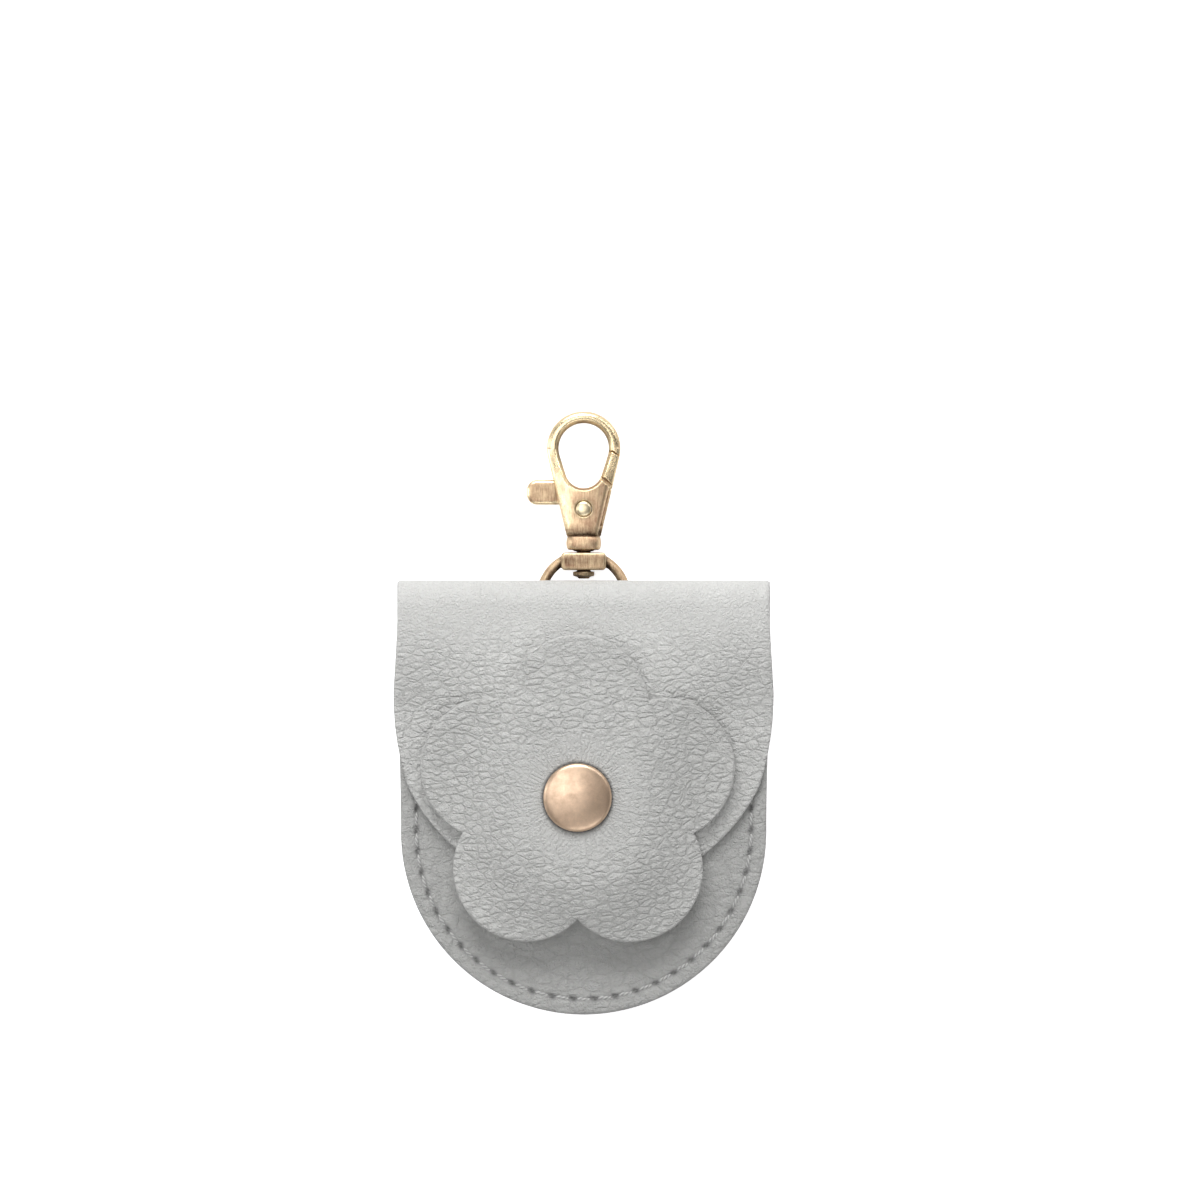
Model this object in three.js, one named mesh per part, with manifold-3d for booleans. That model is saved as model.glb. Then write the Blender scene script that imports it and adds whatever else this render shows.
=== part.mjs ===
// Small leather key-ring pouch that lies on its back. One piece of leather makes the back, the fold and
// the flap. A U-shaped front is stitched to the back, and a five-petal flower and the flap are held by
// a snap. A swivel clasp hangs on a straight-footed ring from a leather keeper on the back.
// Millimetres: +X to the right, +Y from the pouch to the clasp, +Z up from the table.
// The pieces are laid out from the top edge of the fold, where y is 0 and the pouch runs down to -y.
import * as THREE from 'three';
import { mergeVertices } from 'three/addons/utils/BufferGeometryUtils.js';
import Module from 'manifold-3d';

const wasm = await Module();
wasm.setup();
const { degToRad, lerp, smoothstep } = THREE.MathUtils;

// Leather and clearances
const leather = 1.6;
const petalLeather = 1.8;
const contact = 0.3;
const flapEase = 0.6;
const petalEase = 0.5;

// Outline of the back, the front and the flap
const pouchLength = 96.2;
const bottomRadius = 40.4;
const mouthHalfWidth = 41.4;
const foldHalfWidth = 41.1;
const flapHalfWidth = 42.4;
const flapLength = 70.0;
const flapShoulder = 0.8;
const frontDrop = 14.0;

// Height and fullness of the pouch
const roofHeight = 11.0;
const seamLift = 2.6;
const seamMargin = 4.2;
const seamRun = 26.0;
const backRun = 16.0;
const liftRun = 28.0;
const foldDepth = 6.0;
const foldSag = 1.6;
const foldDroop = 1.2;
const crownRun = 30.0;

// Flower: five round petals on a circle round the snap
const petalCount = 5;
const petalRadius = 15.5;
const petalCentres = 20.2;
const petalTurn = 90;
const petalCurl = 1.4;

// Snap: cap and post, socket under the flap, stud in the front
const snapDrop = 47.6;
const snapSide = -1.3;
const capRadius = 7.5;
const capRim = 1.1;
const capDome = 0.9;
const shankRadius = 1.6;
const peenRadius = 2.6;
const peenThickness = 0.4;
const socketRadius = 5.9;
const socketPlate = 0.6;
const knobRadius = 3.2;
const knobHeight = 1.8;
const studRadius = 5.2;
const studFlange = 0.6;
const rivetRadius = 4.8;
const rivetThickness = 0.8;
const snapDimple = 1.0;
const dimpleRun = 12.0;
const flapStandoff = 2.0;
const standoffRun = 30.0;

// Ring of the clasp, its bar and the keeper that holds it
const ringWire = 2.2;
const ringRadius = 9.5;
const ringSeat = 0.6;
const ringFoot = 9.5;
const ringCorner = 4.0;
const barLength = 9.9;
const barTop = 6.2;
const barHeight = 3.9;
const claspDepth = 5.9;
const keeperWidth = 10.0;
const keeperTop = 1.6;
const keeperPad = 4.2;
const keeperLength = 26.5;
const keeperFlat = 1.2;

// Hook: collar, tapered body, eye and the lever inside it
const collarLength = 3.1;
const collarWidth = 7.8;
const collarCorner = 2.6;
const neckLength = 0.6;
const neckRadius = 2.3;
const swivelRadius = 1.5;
const swivelHead = 2.4;
const swivelHeadHeight = 1.6;
const bodyHalfWidth = 3.8;
const hookLength = 27.7;
const hookRadius = 8.2;
const hookBar = 2.6;
const eyeDepth = 3.6;
const eyeFootRadius = 4.15;
const eyeLength = 14.5;
const forkWeb = 1.8;
const frontInset = 0.7;
const pinRise = 6.0;
const pinRadius = 1.75;
const leverThickness = 2.0;
const leverHub = 3.5;
const gateInner = 8.3;
const gateOuter = 13.2;
const gateGap = 0.4;
const thumbReach = 12.7;
const thumbWidth = 5.5;
const thumbDepth = 3.0;
const thumbRise = 3.7;
const thumbCorner = 1.8;

// Worked out from the sizes above
const bottomCentre = bottomRadius - pouchLength;
const flapEndRadius = flapHalfWidth + flapShoulder;
const flapEndCentre = flapEndRadius - flapLength;
const flapEndStart = Math.asin(flapHalfWidth / flapEndRadius);
const ringCentre = barTop - ringSeat - ringRadius;
const ringFootY = ringCentre - ringFoot;
const claspHeight = Math.max(leather + contact + ringWire / 2, claspDepth / 2);
const keeperStack = claspHeight + ringWire / 2 + contact;
const liftEnd = ringFootY - ringWire - contact;
const liftStart = liftEnd - liftRun;
const snapGap = 4 * contact + socketPlate + peenThickness + knobHeight + studFlange;
const frontDimple = snapGap - flapEase - flapStandoff + snapDimple;
const shankHole = shankRadius + contact;
const barFoot = barTop - barHeight;
const collarFoot = barTop + neckLength;
const bodyFoot = collarFoot + collarLength;
const claspReach = bodyFoot + hookLength;
const hookCentre = claspReach - hookRadius;
const pinY = bodyFoot + pinRise;
const slotLow = pinY - leverHub - contact;
const slotHigh = pinY + thumbRise + thumbWidth / 2 + contact;
const forkTop = slotHigh + forkWeb;
const eyeRadius = hookRadius - hookBar;
const eyeFootCentre = claspReach - hookBar - eyeLength + eyeFootRadius;
const columns = 16;

const materials = {
  leather: new THREE.MeshStandardMaterial({ color: 0xb4b4b1, roughness: 0.62, metalness: 0 }),
  brass: new THREE.MeshStandardMaterial({ color: 0xa88d5c, roughness: 0.34, metalness: 1 }),
  cap: new THREE.MeshStandardMaterial({ color: 0xb39a82, roughness: 0.4, metalness: 1 }),
};

// Solids: from a geometry to a manifold and back to a named mesh
function solid(geometry) {
  const bare = geometry.clone();
  bare.deleteAttribute('normal');
  bare.deleteAttribute('uv');
  const merged = mergeVertices(bare, 1e-5);
  const vertProperties = new Float32Array(merged.attributes.position.array);
  const triVerts = new Uint32Array(merged.index.array);
  return new wasm.Manifold(new wasm.Mesh({ numProp: 3, vertProperties, triVerts }));
}

function piece(name, body, material) {
  const { vertProperties, triVerts } = body.getMesh();
  const geometry = new THREE.BufferGeometry();
  geometry.setAttribute('position', new THREE.BufferAttribute(new Float32Array(vertProperties), 3));
  geometry.setIndex(new THREE.BufferAttribute(new Uint32Array(triVerts), 1));
  geometry.computeVertexNormals();
  const mesh = new THREE.Mesh(geometry, material);
  mesh.name = name;
  return mesh;
}

// A round solid on the Z axis from [radius, z] pairs that start and end on the axis, from low to high
function turned(profile, segments = 20) {
  const points = profile.map(([radius, z]) => new THREE.Vector2(radius, z));
  return new THREE.LatheGeometry(points, segments).rotateX(Math.PI / 2);
}

function rod(radius, low, high, segments = 20) {
  return turned([[0, low], [radius, low], [radius, high], [0, high]], segments);
}

// A flat plate of the given outline whose middle lies at the height of the clasp
function plate(shape, depth, bevel = 0, middle = claspHeight) {
  const geometry = new THREE.ExtrudeGeometry(shape, {
    depth: depth - 2 * bevel,
    bevelEnabled: bevel > 0,
    bevelThickness: bevel,
    bevelSize: bevel,
    bevelOffset: -bevel,
    bevelSegments: 1,
    curveSegments: 10,
  });
  return geometry.translate(0, 0, middle - depth / 2 + bevel);
}

function roundedBox(width, height, corner, centreX = 0, centreY = 0) {
  const shape = new THREE.Shape();
  const x = width / 2 - corner;
  const y = height / 2 - corner;
  shape.absarc(centreX + x, centreY + y, corner, 0, Math.PI / 2);
  shape.absarc(centreX - x, centreY + y, corner, Math.PI / 2, Math.PI);
  shape.absarc(centreX - x, centreY - y, corner, Math.PI, 1.5 * Math.PI);
  shape.absarc(centreX + x, centreY - y, corner, 1.5 * Math.PI, 2 * Math.PI);
  return shape;
}

// A sheet of leather from a grid of points on one face. The other face lies a thickness away along the
// normal, and walls close the edges. A sheet that wraps joins its last column to its first.
function sheet(grid, thickness, wraps = false) {
  const rows = grid.length;
  const count = grid[0].length;
  const positions = [];
  const pick = (list, k) => list[Math.min(Math.max(k, 0), list.length - 1)];
  const side = (row, k) => (wraps ? row[(k + count) % count] : pick(row, k));
  for (const offset of [0, thickness]) {
    for (let i = 0; i < rows; i++) {
      for (let j = 0; j < count; j++) {
        const along = pick(grid, i + 1)[j].clone().sub(pick(grid, i - 1)[j]);
        const across = side(grid[i], j + 1).clone().sub(side(grid[i], j - 1));
        const normal = along.cross(across).normalize();
        positions.push(...grid[i][j].clone().addScaledVector(normal, offset).toArray());
      }
    }
  }
  const near = (i, j) => i * count + (j % count);
  const far = (i, j) => rows * count + near(i, j);
  const index = [];
  const quad = (a, b, c, d) => index.push(a, b, c, b, d, c);
  const spans = wraps ? count : count - 1;
  for (let i = 0; i < rows - 1; i++) {
    for (let j = 0; j < spans; j++) {
      quad(far(i, j), far(i + 1, j), far(i, j + 1), far(i + 1, j + 1));
      quad(near(i, j), near(i, j + 1), near(i + 1, j), near(i + 1, j + 1));
    }
    if (!wraps) {
      quad(near(i, 0), near(i + 1, 0), far(i, 0), far(i + 1, 0));
      quad(near(i, spans), far(i, spans), near(i + 1, spans), far(i + 1, spans));
    }
  }
  for (let j = 0; j < spans; j++) {
    quad(near(0, j), far(0, j), near(0, j + 1), far(0, j + 1));
    quad(near(rows - 1, j), near(rows - 1, j + 1), far(rows - 1, j), far(rows - 1, j + 1));
  }
  const geometry = new THREE.BufferGeometry();
  geometry.setAttribute('position', new THREE.Float32BufferAttribute(positions, 3));
  geometry.setIndex(index);
  return geometry;
}

// Shape of the leather, as heights over the table
function halfWidth(y) {
  if (y < bottomCentre) return Math.sqrt(bottomRadius ** 2 - (y - bottomCentre) ** 2);
  return lerp(bottomRadius, mouthHalfWidth, smoothstep(y, bottomCentre, -foldDepth));
}

// Distance of a point in from the stitched outline
function inset(x, y) {
  if (y < bottomCentre) return bottomRadius - Math.hypot(x, y - bottomCentre);
  return halfWidth(y) - Math.abs(x);
}

function snapDistance(x, y) {
  return Math.hypot(x - snapSide, y + snapDrop);
}

function pit(x, y) {
  return 1 - smoothstep(snapDistance(x, y), capRadius, capRadius + dimpleRun);
}

// The back lies on the table, rises to the seam all round and climbs over the ring near the fold
function backUnder(x, y) {
  const seamed = seamLift * (1 - smoothstep(inset(x, y), seamMargin, seamMargin + backRun));
  return lerp(seamed, keeperStack, smoothstep(y, liftStart, liftEnd));
}

function roofAt(y) {
  return roofHeight - foldSag * (1 - smoothstep(-y, 0, crownRun));
}

function frontSkin(x, y) {
  const seam = backUnder(x, y) + leather + contact;
  return lerp(seam, roofAt(y), smoothstep(inset(x, y), seamMargin, seamMargin + seamRun));
}

function frontUnder(x, y) {
  return frontSkin(x, y) - frontDimple * pit(x, y);
}

// The flap arches over the fold and drapes over the front further down
function flapUnder(x, y) {
  const standoff = flapStandoff * (1 - smoothstep(snapDistance(x, y), capRadius, standoffRun));
  const draped = frontSkin(x, y) + leather + flapEase + standoff;
  const arched = roofAt(y) + leather + flapEase - foldDroop * (x / foldHalfWidth) ** 2;
  const arch = 1 - smoothstep(-y, foldDepth, crownRun);
  return lerp(draped, arched, arch) - snapDimple * pit(x, y);
}

function flowerUnder(x, y) {
  const reach = snapDistance(x, y) / (petalCentres + petalRadius);
  return flapUnder(x, y) + leather + petalEase + petalCurl * reach ** 2;
}

// One row of points across the leather, from right to left. Columns crowd towards the edges.
function across(half, place) {
  const row = [];
  for (let j = 0; j <= columns; j++) {
    const even = 1 - (2 * j) / columns;
    const x = half * lerp(even, Math.sin((even * Math.PI) / 2), 0.5);
    row.push(place(x));
  }
  return row;
}

function steps(count, first, last) {
  return Array.from({ length: count }, (_, i) => lerp(first, last, i / (count - 1)));
}

// Rows up the stitched outline, from its tip to the given height
function outlineHeights(top, straightRows) {
  const tip = degToRad(4);
  const turns = steps(10, tip, Math.PI / 2).map((turn) => bottomCentre - bottomRadius * Math.cos(turn));
  return turns.concat(steps(straightRows, bottomCentre, top).slice(1));
}

function backAndFlap() {
  const grid = [];
  for (const y of outlineHeights(-foldDepth, 11)) {
    grid.push(across(halfWidth(y), (x) => new THREE.Vector3(x, y, backUnder(x, y))));
  }
  const flapTop = (x, y) => flapUnder(x, y) + leather;
  for (const turn of steps(9, -Math.PI / 2, Math.PI / 2).slice(1)) {
    const half = lerp(halfWidth(-foldDepth), foldHalfWidth, (1 + Math.sin(turn)) / 2);
    grid.push(across(half, (x) => {
      const low = backUnder(x, -foldDepth);
      const high = flapTop(x, -foldDepth);
      const y = -foldDepth + foldDepth * Math.cos(turn);
      return new THREE.Vector3(x, y, lerp(low, high, (1 + Math.sin(turn)) / 2));
    }));
  }
  const endTop = flapEndCentre - flapEndRadius * Math.cos(flapEndStart);
  for (const y of steps(7, -foldDepth, endTop).slice(1)) {
    const half = lerp(foldHalfWidth, flapHalfWidth, smoothstep(-y, foldDepth, -endTop));
    grid.push(across(half, (x) => new THREE.Vector3(x, y, flapTop(x, y))));
  }
  for (const turn of steps(11, flapEndStart, degToRad(5)).slice(1)) {
    const y = flapEndCentre - flapEndRadius * Math.cos(turn);
    const half = flapEndRadius * Math.sin(turn);
    grid.push(across(half, (x) => new THREE.Vector3(x, y, flapTop(x, y))));
  }
  return solid(sheet(grid, leather)).subtract(snapRod(shankHole, roofHeight, 2 * roofHeight));
}

function snapRod(radius, low, high) {
  return solid(rod(radius, low, high).translate(snapSide, -snapDrop, 0));
}

function frontPanel() {
  const grid = outlineHeights(-frontDrop, 9).map((y) => (
    across(halfWidth(y), (x) => new THREE.Vector3(x, y, frontUnder(x, y)))
  ));
  return solid(sheet(grid, leather)).subtract(snapRod(shankHole, seamLift, 2 * roofHeight));
}

function flower() {
  const spread = (2 * Math.PI) / petalCount;
  const perPetal = 10;
  const rings = 6;
  const grid = [];
  for (let i = 0; i <= rings; i++) {
    const row = [];
    for (let j = 0; j < petalCount * perPetal; j++) {
      const fromNotch = (j / perPetal) * spread;
      const off = (fromNotch % spread) - spread / 2;
      const rim = petalCentres * Math.cos(off)
        + Math.sqrt(petalRadius ** 2 - (petalCentres * Math.sin(off)) ** 2);
      const radius = lerp(shankHole, rim, i / rings);
      const angle = degToRad(petalTurn) - spread / 2 + fromNotch;
      const x = snapSide + radius * Math.cos(angle);
      const y = -snapDrop + radius * Math.sin(angle);
      row.push(new THREE.Vector3(x, y, flowerUnder(x, y)));
    }
    grid.push(row);
  }
  return solid(sheet(grid, petalLeather, true));
}

// Heights of the leather at the snap, and of the faces between its parts
const capSeat = flowerUnder(snapSide, -snapDrop) + petalLeather;
const socketSeat = flapUnder(snapSide, -snapDrop);
const peenTop = socketSeat - contact - socketPlate - contact;
const knobTop = peenTop - peenThickness - contact;
const flangeTop = knobTop - knobHeight;
const rivetTop = frontUnder(snapSide, -snapDrop) - contact;

function atSnap(geometry) {
  return solid(geometry.translate(snapSide, -snapDrop, 0));
}

function snapCap() {
  const base = capSeat + contact;
  return atSnap(turned([
    [0, peenTop - peenThickness],
    [peenRadius, peenTop - peenThickness],
    [peenRadius, peenTop],
    [shankRadius, peenTop],
    [shankRadius, base],
    [capRadius * 0.93, base],
    [capRadius, base + capRim * 0.35],
    [capRadius, base + capRim * 0.7],
    [capRadius * 0.95, base + capRim],
    [capRadius * 0.84, base + capRim * 0.86],
    [capRadius * 0.6, base + capRim + capDome * 0.6],
    [capRadius * 0.3, base + capRim + capDome * 0.9],
    [0, base + capRim + capDome],
  ], 28));
}

function snapSocket() {
  const bore = knobRadius + contact;
  const top = socketSeat - contact;
  const foot = flangeTop + contact;
  const hole = shankRadius + contact;
  return atSnap(turned([
    [bore, foot],
    [socketRadius - contact, foot],
    [socketRadius, foot + contact],
    [socketRadius, top - socketPlate],
    [socketRadius - socketPlate, top],
    [hole, top],
    [hole, top - socketPlate],
    [bore, top - socketPlate],
    [bore, foot],
  ]));
}

function snapStud() {
  return atSnap(turned([
    [0, rivetTop - rivetThickness],
    [rivetRadius, rivetTop - rivetThickness],
    [rivetRadius, rivetTop],
    [shankRadius, rivetTop],
    [shankRadius, flangeTop - studFlange],
    [studRadius, flangeTop - studFlange],
    [studRadius, flangeTop],
    [knobRadius * 0.88, flangeTop],
    [knobRadius, flangeTop + knobHeight * 0.6],
    [knobRadius * 0.85, knobTop],
    [0, knobTop],
  ]));
}

// The keeper is a strap under the foot of the ring. Both of its ends are stitched to the back.
function keeper() {
  const ringTop = ringFootY + ringWire / 2 + keeperFlat;
  const ringLow = ringFootY - ringWire / 2 - keeperFlat;
  const pad = (y) => backUnder(0, y) - contact - leather;
  const heights = [
    ...steps(3, -keeperTop - keeperLength, -keeperTop - keeperLength + keeperPad),
    (ringLow - keeperTop - keeperLength + keeperPad) / 2,
    ...steps(3, ringLow, ringTop),
    (ringTop - keeperTop - keeperPad) / 2,
    ...steps(3, -keeperTop - keeperPad, -keeperTop),
  ];
  const grid = heights.map((y) => {
    const sewnLow = 1 - smoothstep(y, -keeperTop - keeperLength + keeperPad, ringLow);
    const sewnHigh = smoothstep(y, ringTop, -keeperTop - keeperPad);
    const z = Math.max(0, pad(y)) * Math.max(sewnLow, sewnHigh);
    return [-0.5, 0, 0.5].map((share) => new THREE.Vector3(-share * keeperWidth, y, z));
  });
  return solid(sheet(grid, leather));
}

// A solid made along the Z axis, laid along the axis of the clasp
function alongClasp(geometry) {
  return solid(geometry.rotateX(-Math.PI / 2).translate(0, 0, claspHeight));
}

// The ring is round at the top and straight at its foot, where it turns in the keeper
function swivelLoop() {
  const outline = new THREE.Shape();
  const side = ringRadius - ringCorner;
  const low = ringFootY + ringCorner;
  outline.absarc(0, ringCentre, ringRadius, 0, Math.PI);
  outline.absarc(-side, low, ringCorner, Math.PI, 1.5 * Math.PI);
  outline.absarc(side, low, ringCorner, 1.5 * Math.PI, 2 * Math.PI);
  const route = outline.getSpacedPoints(40).slice(0, -1);
  const points = route.map((p) => new THREE.Vector3(p.x, p.y, claspHeight));
  const curve = new THREE.CatmullRomCurve3(points, true);
  const ring = solid(new THREE.TubeGeometry(curve, 40, ringWire / 2, 8, true));
  const bar = solid(plate(roundedBox(barLength, barHeight, 1, 0, barTop - barHeight / 2), claspDepth, 0.5));
  const above = new THREE.BoxGeometry(2 * barLength, ringWire, 2 * claspDepth);
  const hole = rod(swivelRadius + contact, barFoot - ringWire, barTop + ringWire);
  return ring
    .subtract(solid(above.translate(0, barTop + ringWire / 2, claspHeight)))
    .add(bar)
    .subtract(alongClasp(hole));
}

// Half width of the hook's straight sides, which taper to the foot of the body and touch the round top
const bodyRise = hookCentre - bodyFoot;
const touchAngle = Math.PI / 2 - Math.atan2(bodyRise, bodyHalfWidth)
  - Math.asin(hookRadius / Math.hypot(bodyRise, bodyHalfWidth));

function bodyHalf(y) {
  return bodyHalfWidth - (y - bodyFoot) * Math.tan(touchAngle);
}

function hookOutline() {
  const shape = new THREE.Shape();
  shape.moveTo(-bodyHalfWidth, bodyFoot);
  shape.lineTo(bodyHalfWidth, bodyFoot);
  shape.absarc(0, hookCentre, hookRadius, touchAngle, Math.PI - touchAngle);
  return shape;
}

function eyeOutline() {
  const shape = new THREE.Shape();
  const tilt = Math.asin((eyeRadius - eyeFootRadius) / (hookCentre - eyeFootCentre));
  shape.absarc(0, hookCentre, eyeRadius, -tilt, Math.PI + tilt);
  shape.absarc(0, eyeFootCentre, eyeFootRadius, Math.PI + tilt, 2 * Math.PI - tilt);
  return shape;
}

// One half of the body's depth. The front half is narrower on its right side.
function bodyHalfPlate(inset, middle) {
  const shape = new THREE.Shape();
  shape.moveTo(-bodyHalfWidth, bodyFoot);
  shape.lineTo(bodyHalfWidth - inset, bodyFoot);
  shape.lineTo(bodyHalf(forkTop) - inset, forkTop);
  shape.lineTo(-bodyHalf(forkTop), forkTop);
  return solid(plate(shape, claspDepth / 2, 0, middle));
}

// A wedge round the pin, on the side of the gate
function wedge(inner, outer, depth, from = 0, to = 75) {
  const shape = new THREE.Shape();
  shape.absarc(0, pinY, outer, degToRad(from), degToRad(to));
  shape.absarc(0, pinY, inner, degToRad(to), degToRad(from), true);
  return solid(plate(shape, depth));
}

function pinHole() {
  return solid(rod(pinRadius + contact, 0, 2 * claspHeight).translate(0, pinY, 0));
}

function eyeBar() {
  return solid(plate(hookOutline(), eyeDepth, 0.6)).subtract(solid(plate(eyeOutline(), claspDepth)));
}

function hook() {
  const slot = new THREE.BoxGeometry(4 * hookRadius, slotHigh - slotLow, leverThickness + 2 * contact);
  const collar = new THREE.ExtrudeGeometry(roundedBox(collarWidth, claspDepth, collarCorner), {
    depth: collarLength,
    bevelEnabled: false,
    curveSegments: 5,
  });
  const neck = rod(neckRadius, barTop + contact, collarFoot + contact);
  const shank = rod(swivelRadius, barFoot - contact - contact, collarFoot + contact);
  const head = rod(swivelHead, barFoot - contact - swivelHeadHeight, barFoot - contact);
  return eyeBar()
    .add(bodyHalfPlate(0, claspHeight - claspDepth / 4))
    .add(bodyHalfPlate(frontInset, claspHeight + claspDepth / 4))
    .subtract(solid(plate(eyeOutline(), 2 * claspDepth)))
    .subtract(solid(slot.translate(0, (slotLow + slotHigh) / 2, claspHeight)))
    .subtract(wedge(gateInner - 2 * gateGap, gateOuter + gateGap, 2 * claspDepth))
    .subtract(pinHole())
    .add(alongClasp(collar.translate(0, 0, collarFoot)))
    .add(alongClasp(neck))
    .add(alongClasp(shank))
    .add(alongClasp(head));
}

// The lever turns on the pin: a hub, a thumb tab outside the body and a gate that closes the eye
function trigger() {
  const root = bodyHalf(pinY + thumbRise + thumbWidth / 2) + gateGap;
  const middle = pinY + thumbRise;
  const tab = roundedBox(thumbReach - root, thumbWidth, thumbCorner, -(thumbReach + root) / 2, middle);
  const arm = new THREE.Shape();
  const high = middle + thumbWidth / 2 - contact;
  const low = middle - thumbWidth / 2 + contact;
  arm.moveTo(-bodyHalf(high) + gateGap, high);
  arm.lineTo(-root - thumbCorner, high);
  arm.lineTo(-root - thumbCorner, low);
  arm.lineTo(-bodyHalf(low), low);
  arm.lineTo(0, pinY - leverHub / 2);
  arm.lineTo(0, pinY + leverHub);
  const hub = rod(leverHub, claspHeight - leverThickness / 2, claspHeight + leverThickness / 2);
  const shelf = wedge(pinRadius, gateInner + contact, leverThickness, 36, 62);
  return solid(hub.translate(0, pinY, 0))
    .add(solid(plate(arm, leverThickness)))
    .add(shelf.intersect(solid(plate(hookOutline(), claspDepth))))
    .add(wedge(gateInner, gateOuter, eyeDepth).intersect(eyeBar()))
    .add(solid(plate(tab, thumbDepth, 0.4)))
    .subtract(pinHole());
}

function triggerPin() {
  const top = claspHeight + claspDepth / 2;
  const profile = [[0, contact], [pinRadius, contact], [pinRadius, top], [pinRadius / 2, top + contact]];
  return solid(turned([...profile, [0, top + contact]]).translate(0, pinY, 0));
}

const pouch = new THREE.Group();
pouch.add(
  piece('back_and_flap', backAndFlap(), materials.leather),
  piece('front_panel', frontPanel(), materials.leather),
  piece('flower', flower(), materials.leather),
  piece('snap_cap', snapCap(), materials.cap),
  piece('snap_socket', snapSocket(), materials.brass),
  piece('snap_stud', snapStud(), materials.brass),
  piece('hang_keeper', keeper(), materials.leather),
);
const clasp = new THREE.Group();
clasp.add(
  piece('swivel_loop', swivelLoop(), materials.brass),
  piece('hook', hook(), materials.brass),
  piece('trigger', trigger(), materials.brass),
  piece('trigger_pin', triggerPin(), materials.brass),
);

// The origin is the middle of the whole outline, on the table
const group = new THREE.Group();
group.add(pouch, clasp);
const bounds = new THREE.Box3().setFromObject(group);
const middle = bounds.getCenter(new THREE.Vector3());
group.position.set(-middle.x, -middle.y, -bounds.min.z);
export default group;
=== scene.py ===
# Small leather key-ring pouch: the looks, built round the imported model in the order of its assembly.
# Metres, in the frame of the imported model. Sizes of the pieces are in millimetres where a name says so.
import math

import bmesh
import bpy
import numpy as np
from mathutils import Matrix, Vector, noise


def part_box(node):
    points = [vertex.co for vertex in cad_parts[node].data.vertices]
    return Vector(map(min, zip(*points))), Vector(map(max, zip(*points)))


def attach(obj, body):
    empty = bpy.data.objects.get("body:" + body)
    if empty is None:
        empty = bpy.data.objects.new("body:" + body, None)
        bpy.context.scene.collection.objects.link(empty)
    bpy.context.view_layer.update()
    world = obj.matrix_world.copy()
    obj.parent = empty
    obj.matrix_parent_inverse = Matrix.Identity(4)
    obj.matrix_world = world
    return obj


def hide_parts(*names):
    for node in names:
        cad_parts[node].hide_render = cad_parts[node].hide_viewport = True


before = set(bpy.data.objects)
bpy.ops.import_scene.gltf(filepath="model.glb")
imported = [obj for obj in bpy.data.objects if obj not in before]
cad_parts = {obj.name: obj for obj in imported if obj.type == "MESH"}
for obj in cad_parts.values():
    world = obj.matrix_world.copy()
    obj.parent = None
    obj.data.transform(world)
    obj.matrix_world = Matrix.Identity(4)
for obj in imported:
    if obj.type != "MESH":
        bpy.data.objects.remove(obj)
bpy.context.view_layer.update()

# Table, light and camera
# The photo looks straight down from about a metre on a white table. The strongest soft light stands
# beyond the clasp, so that slopes towards the bottom are darker. The surroundings are bright low down.
scene = bpy.context.scene
scene.view_settings.view_transform = "Standard"
cap_low, cap_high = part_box("snap_cap")
cap_middle = (cap_low + cap_high) / 2
photo_side = 1200
cap_pixel = (577.5, 797.5)
pixels_per_metre = 4567
camera_height = 1.0
sensor_mm = 36.0
cap_height = 0.019


def new_object(name, data):
    """An object that is in the scene."""
    made = bpy.data.objects.new(name, data)
    scene.collection.objects.link(made)
    return made


camera_data = bpy.data.cameras.new("camera")
camera_data.sensor_width = sensor_mm
camera_data.lens = sensor_mm * (camera_height - cap_height) * pixels_per_metre / photo_side
camera = new_object("camera", camera_data)
camera.location = (
    cap_middle.x + (photo_side / 2 - cap_pixel[0]) / pixels_per_metre,
    cap_middle.y + (cap_pixel[1] - photo_side / 2) / pixels_per_metre,
    camera_height,
)
scene.camera = camera


def soft_light(name, place, size, power):
    data = bpy.data.lights.new(name, "AREA")
    data.shape = "RECTANGLE"
    data.size = size[0]
    data.size_y = size[1]
    data.energy = power
    light = new_object(name, data)
    light.location = place
    light.rotation_euler = (-Vector(place)).to_track_quat("-Z", "Y").to_euler()


soft_light("window_light", (-0.08, 0.9, 0.75), (0.75, 0.5), 10.5)
soft_light("ceiling_light", (-0.3, 0.14, 1.45), (0.7, 0.7), 4.6)
soft_light("front_light", (0.2, -0.9, 1.1), (1.0, 0.6), 3.6)
soft_light("right_light", (0.5, 0.42, 0.5), (0.2, 0.2), 0.7)
soft_light("left_light", (-0.8, 0.1, 0.45), (0.3, 0.7), 1.6)

world = bpy.data.worlds.new("studio")
world.use_nodes = True
world_nodes = world.node_tree.nodes
world_nodes["Background"].inputs["Color"].default_value = (1.0, 1.0, 1.0, 1.0)
world_way = world_nodes.new("ShaderNodeTexCoord")
world_parts = world_nodes.new("ShaderNodeSeparateXYZ")
world_glow = world_nodes.new("ShaderNodeMapRange")
for label, value in (("From Min", 0.15), ("From Max", 0.65), ("To Min", 0.75), ("To Max", 0.1)):
    world_glow.inputs[label].default_value = value
world.node_tree.links.new(world_way.outputs["Generated"], world_parts.inputs[0])
world.node_tree.links.new(world_parts.outputs["Z"], world_glow.inputs["Value"])
world.node_tree.links.new(world_glow.outputs[0], world_nodes["Background"].inputs["Strength"])
scene.world = world

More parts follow.
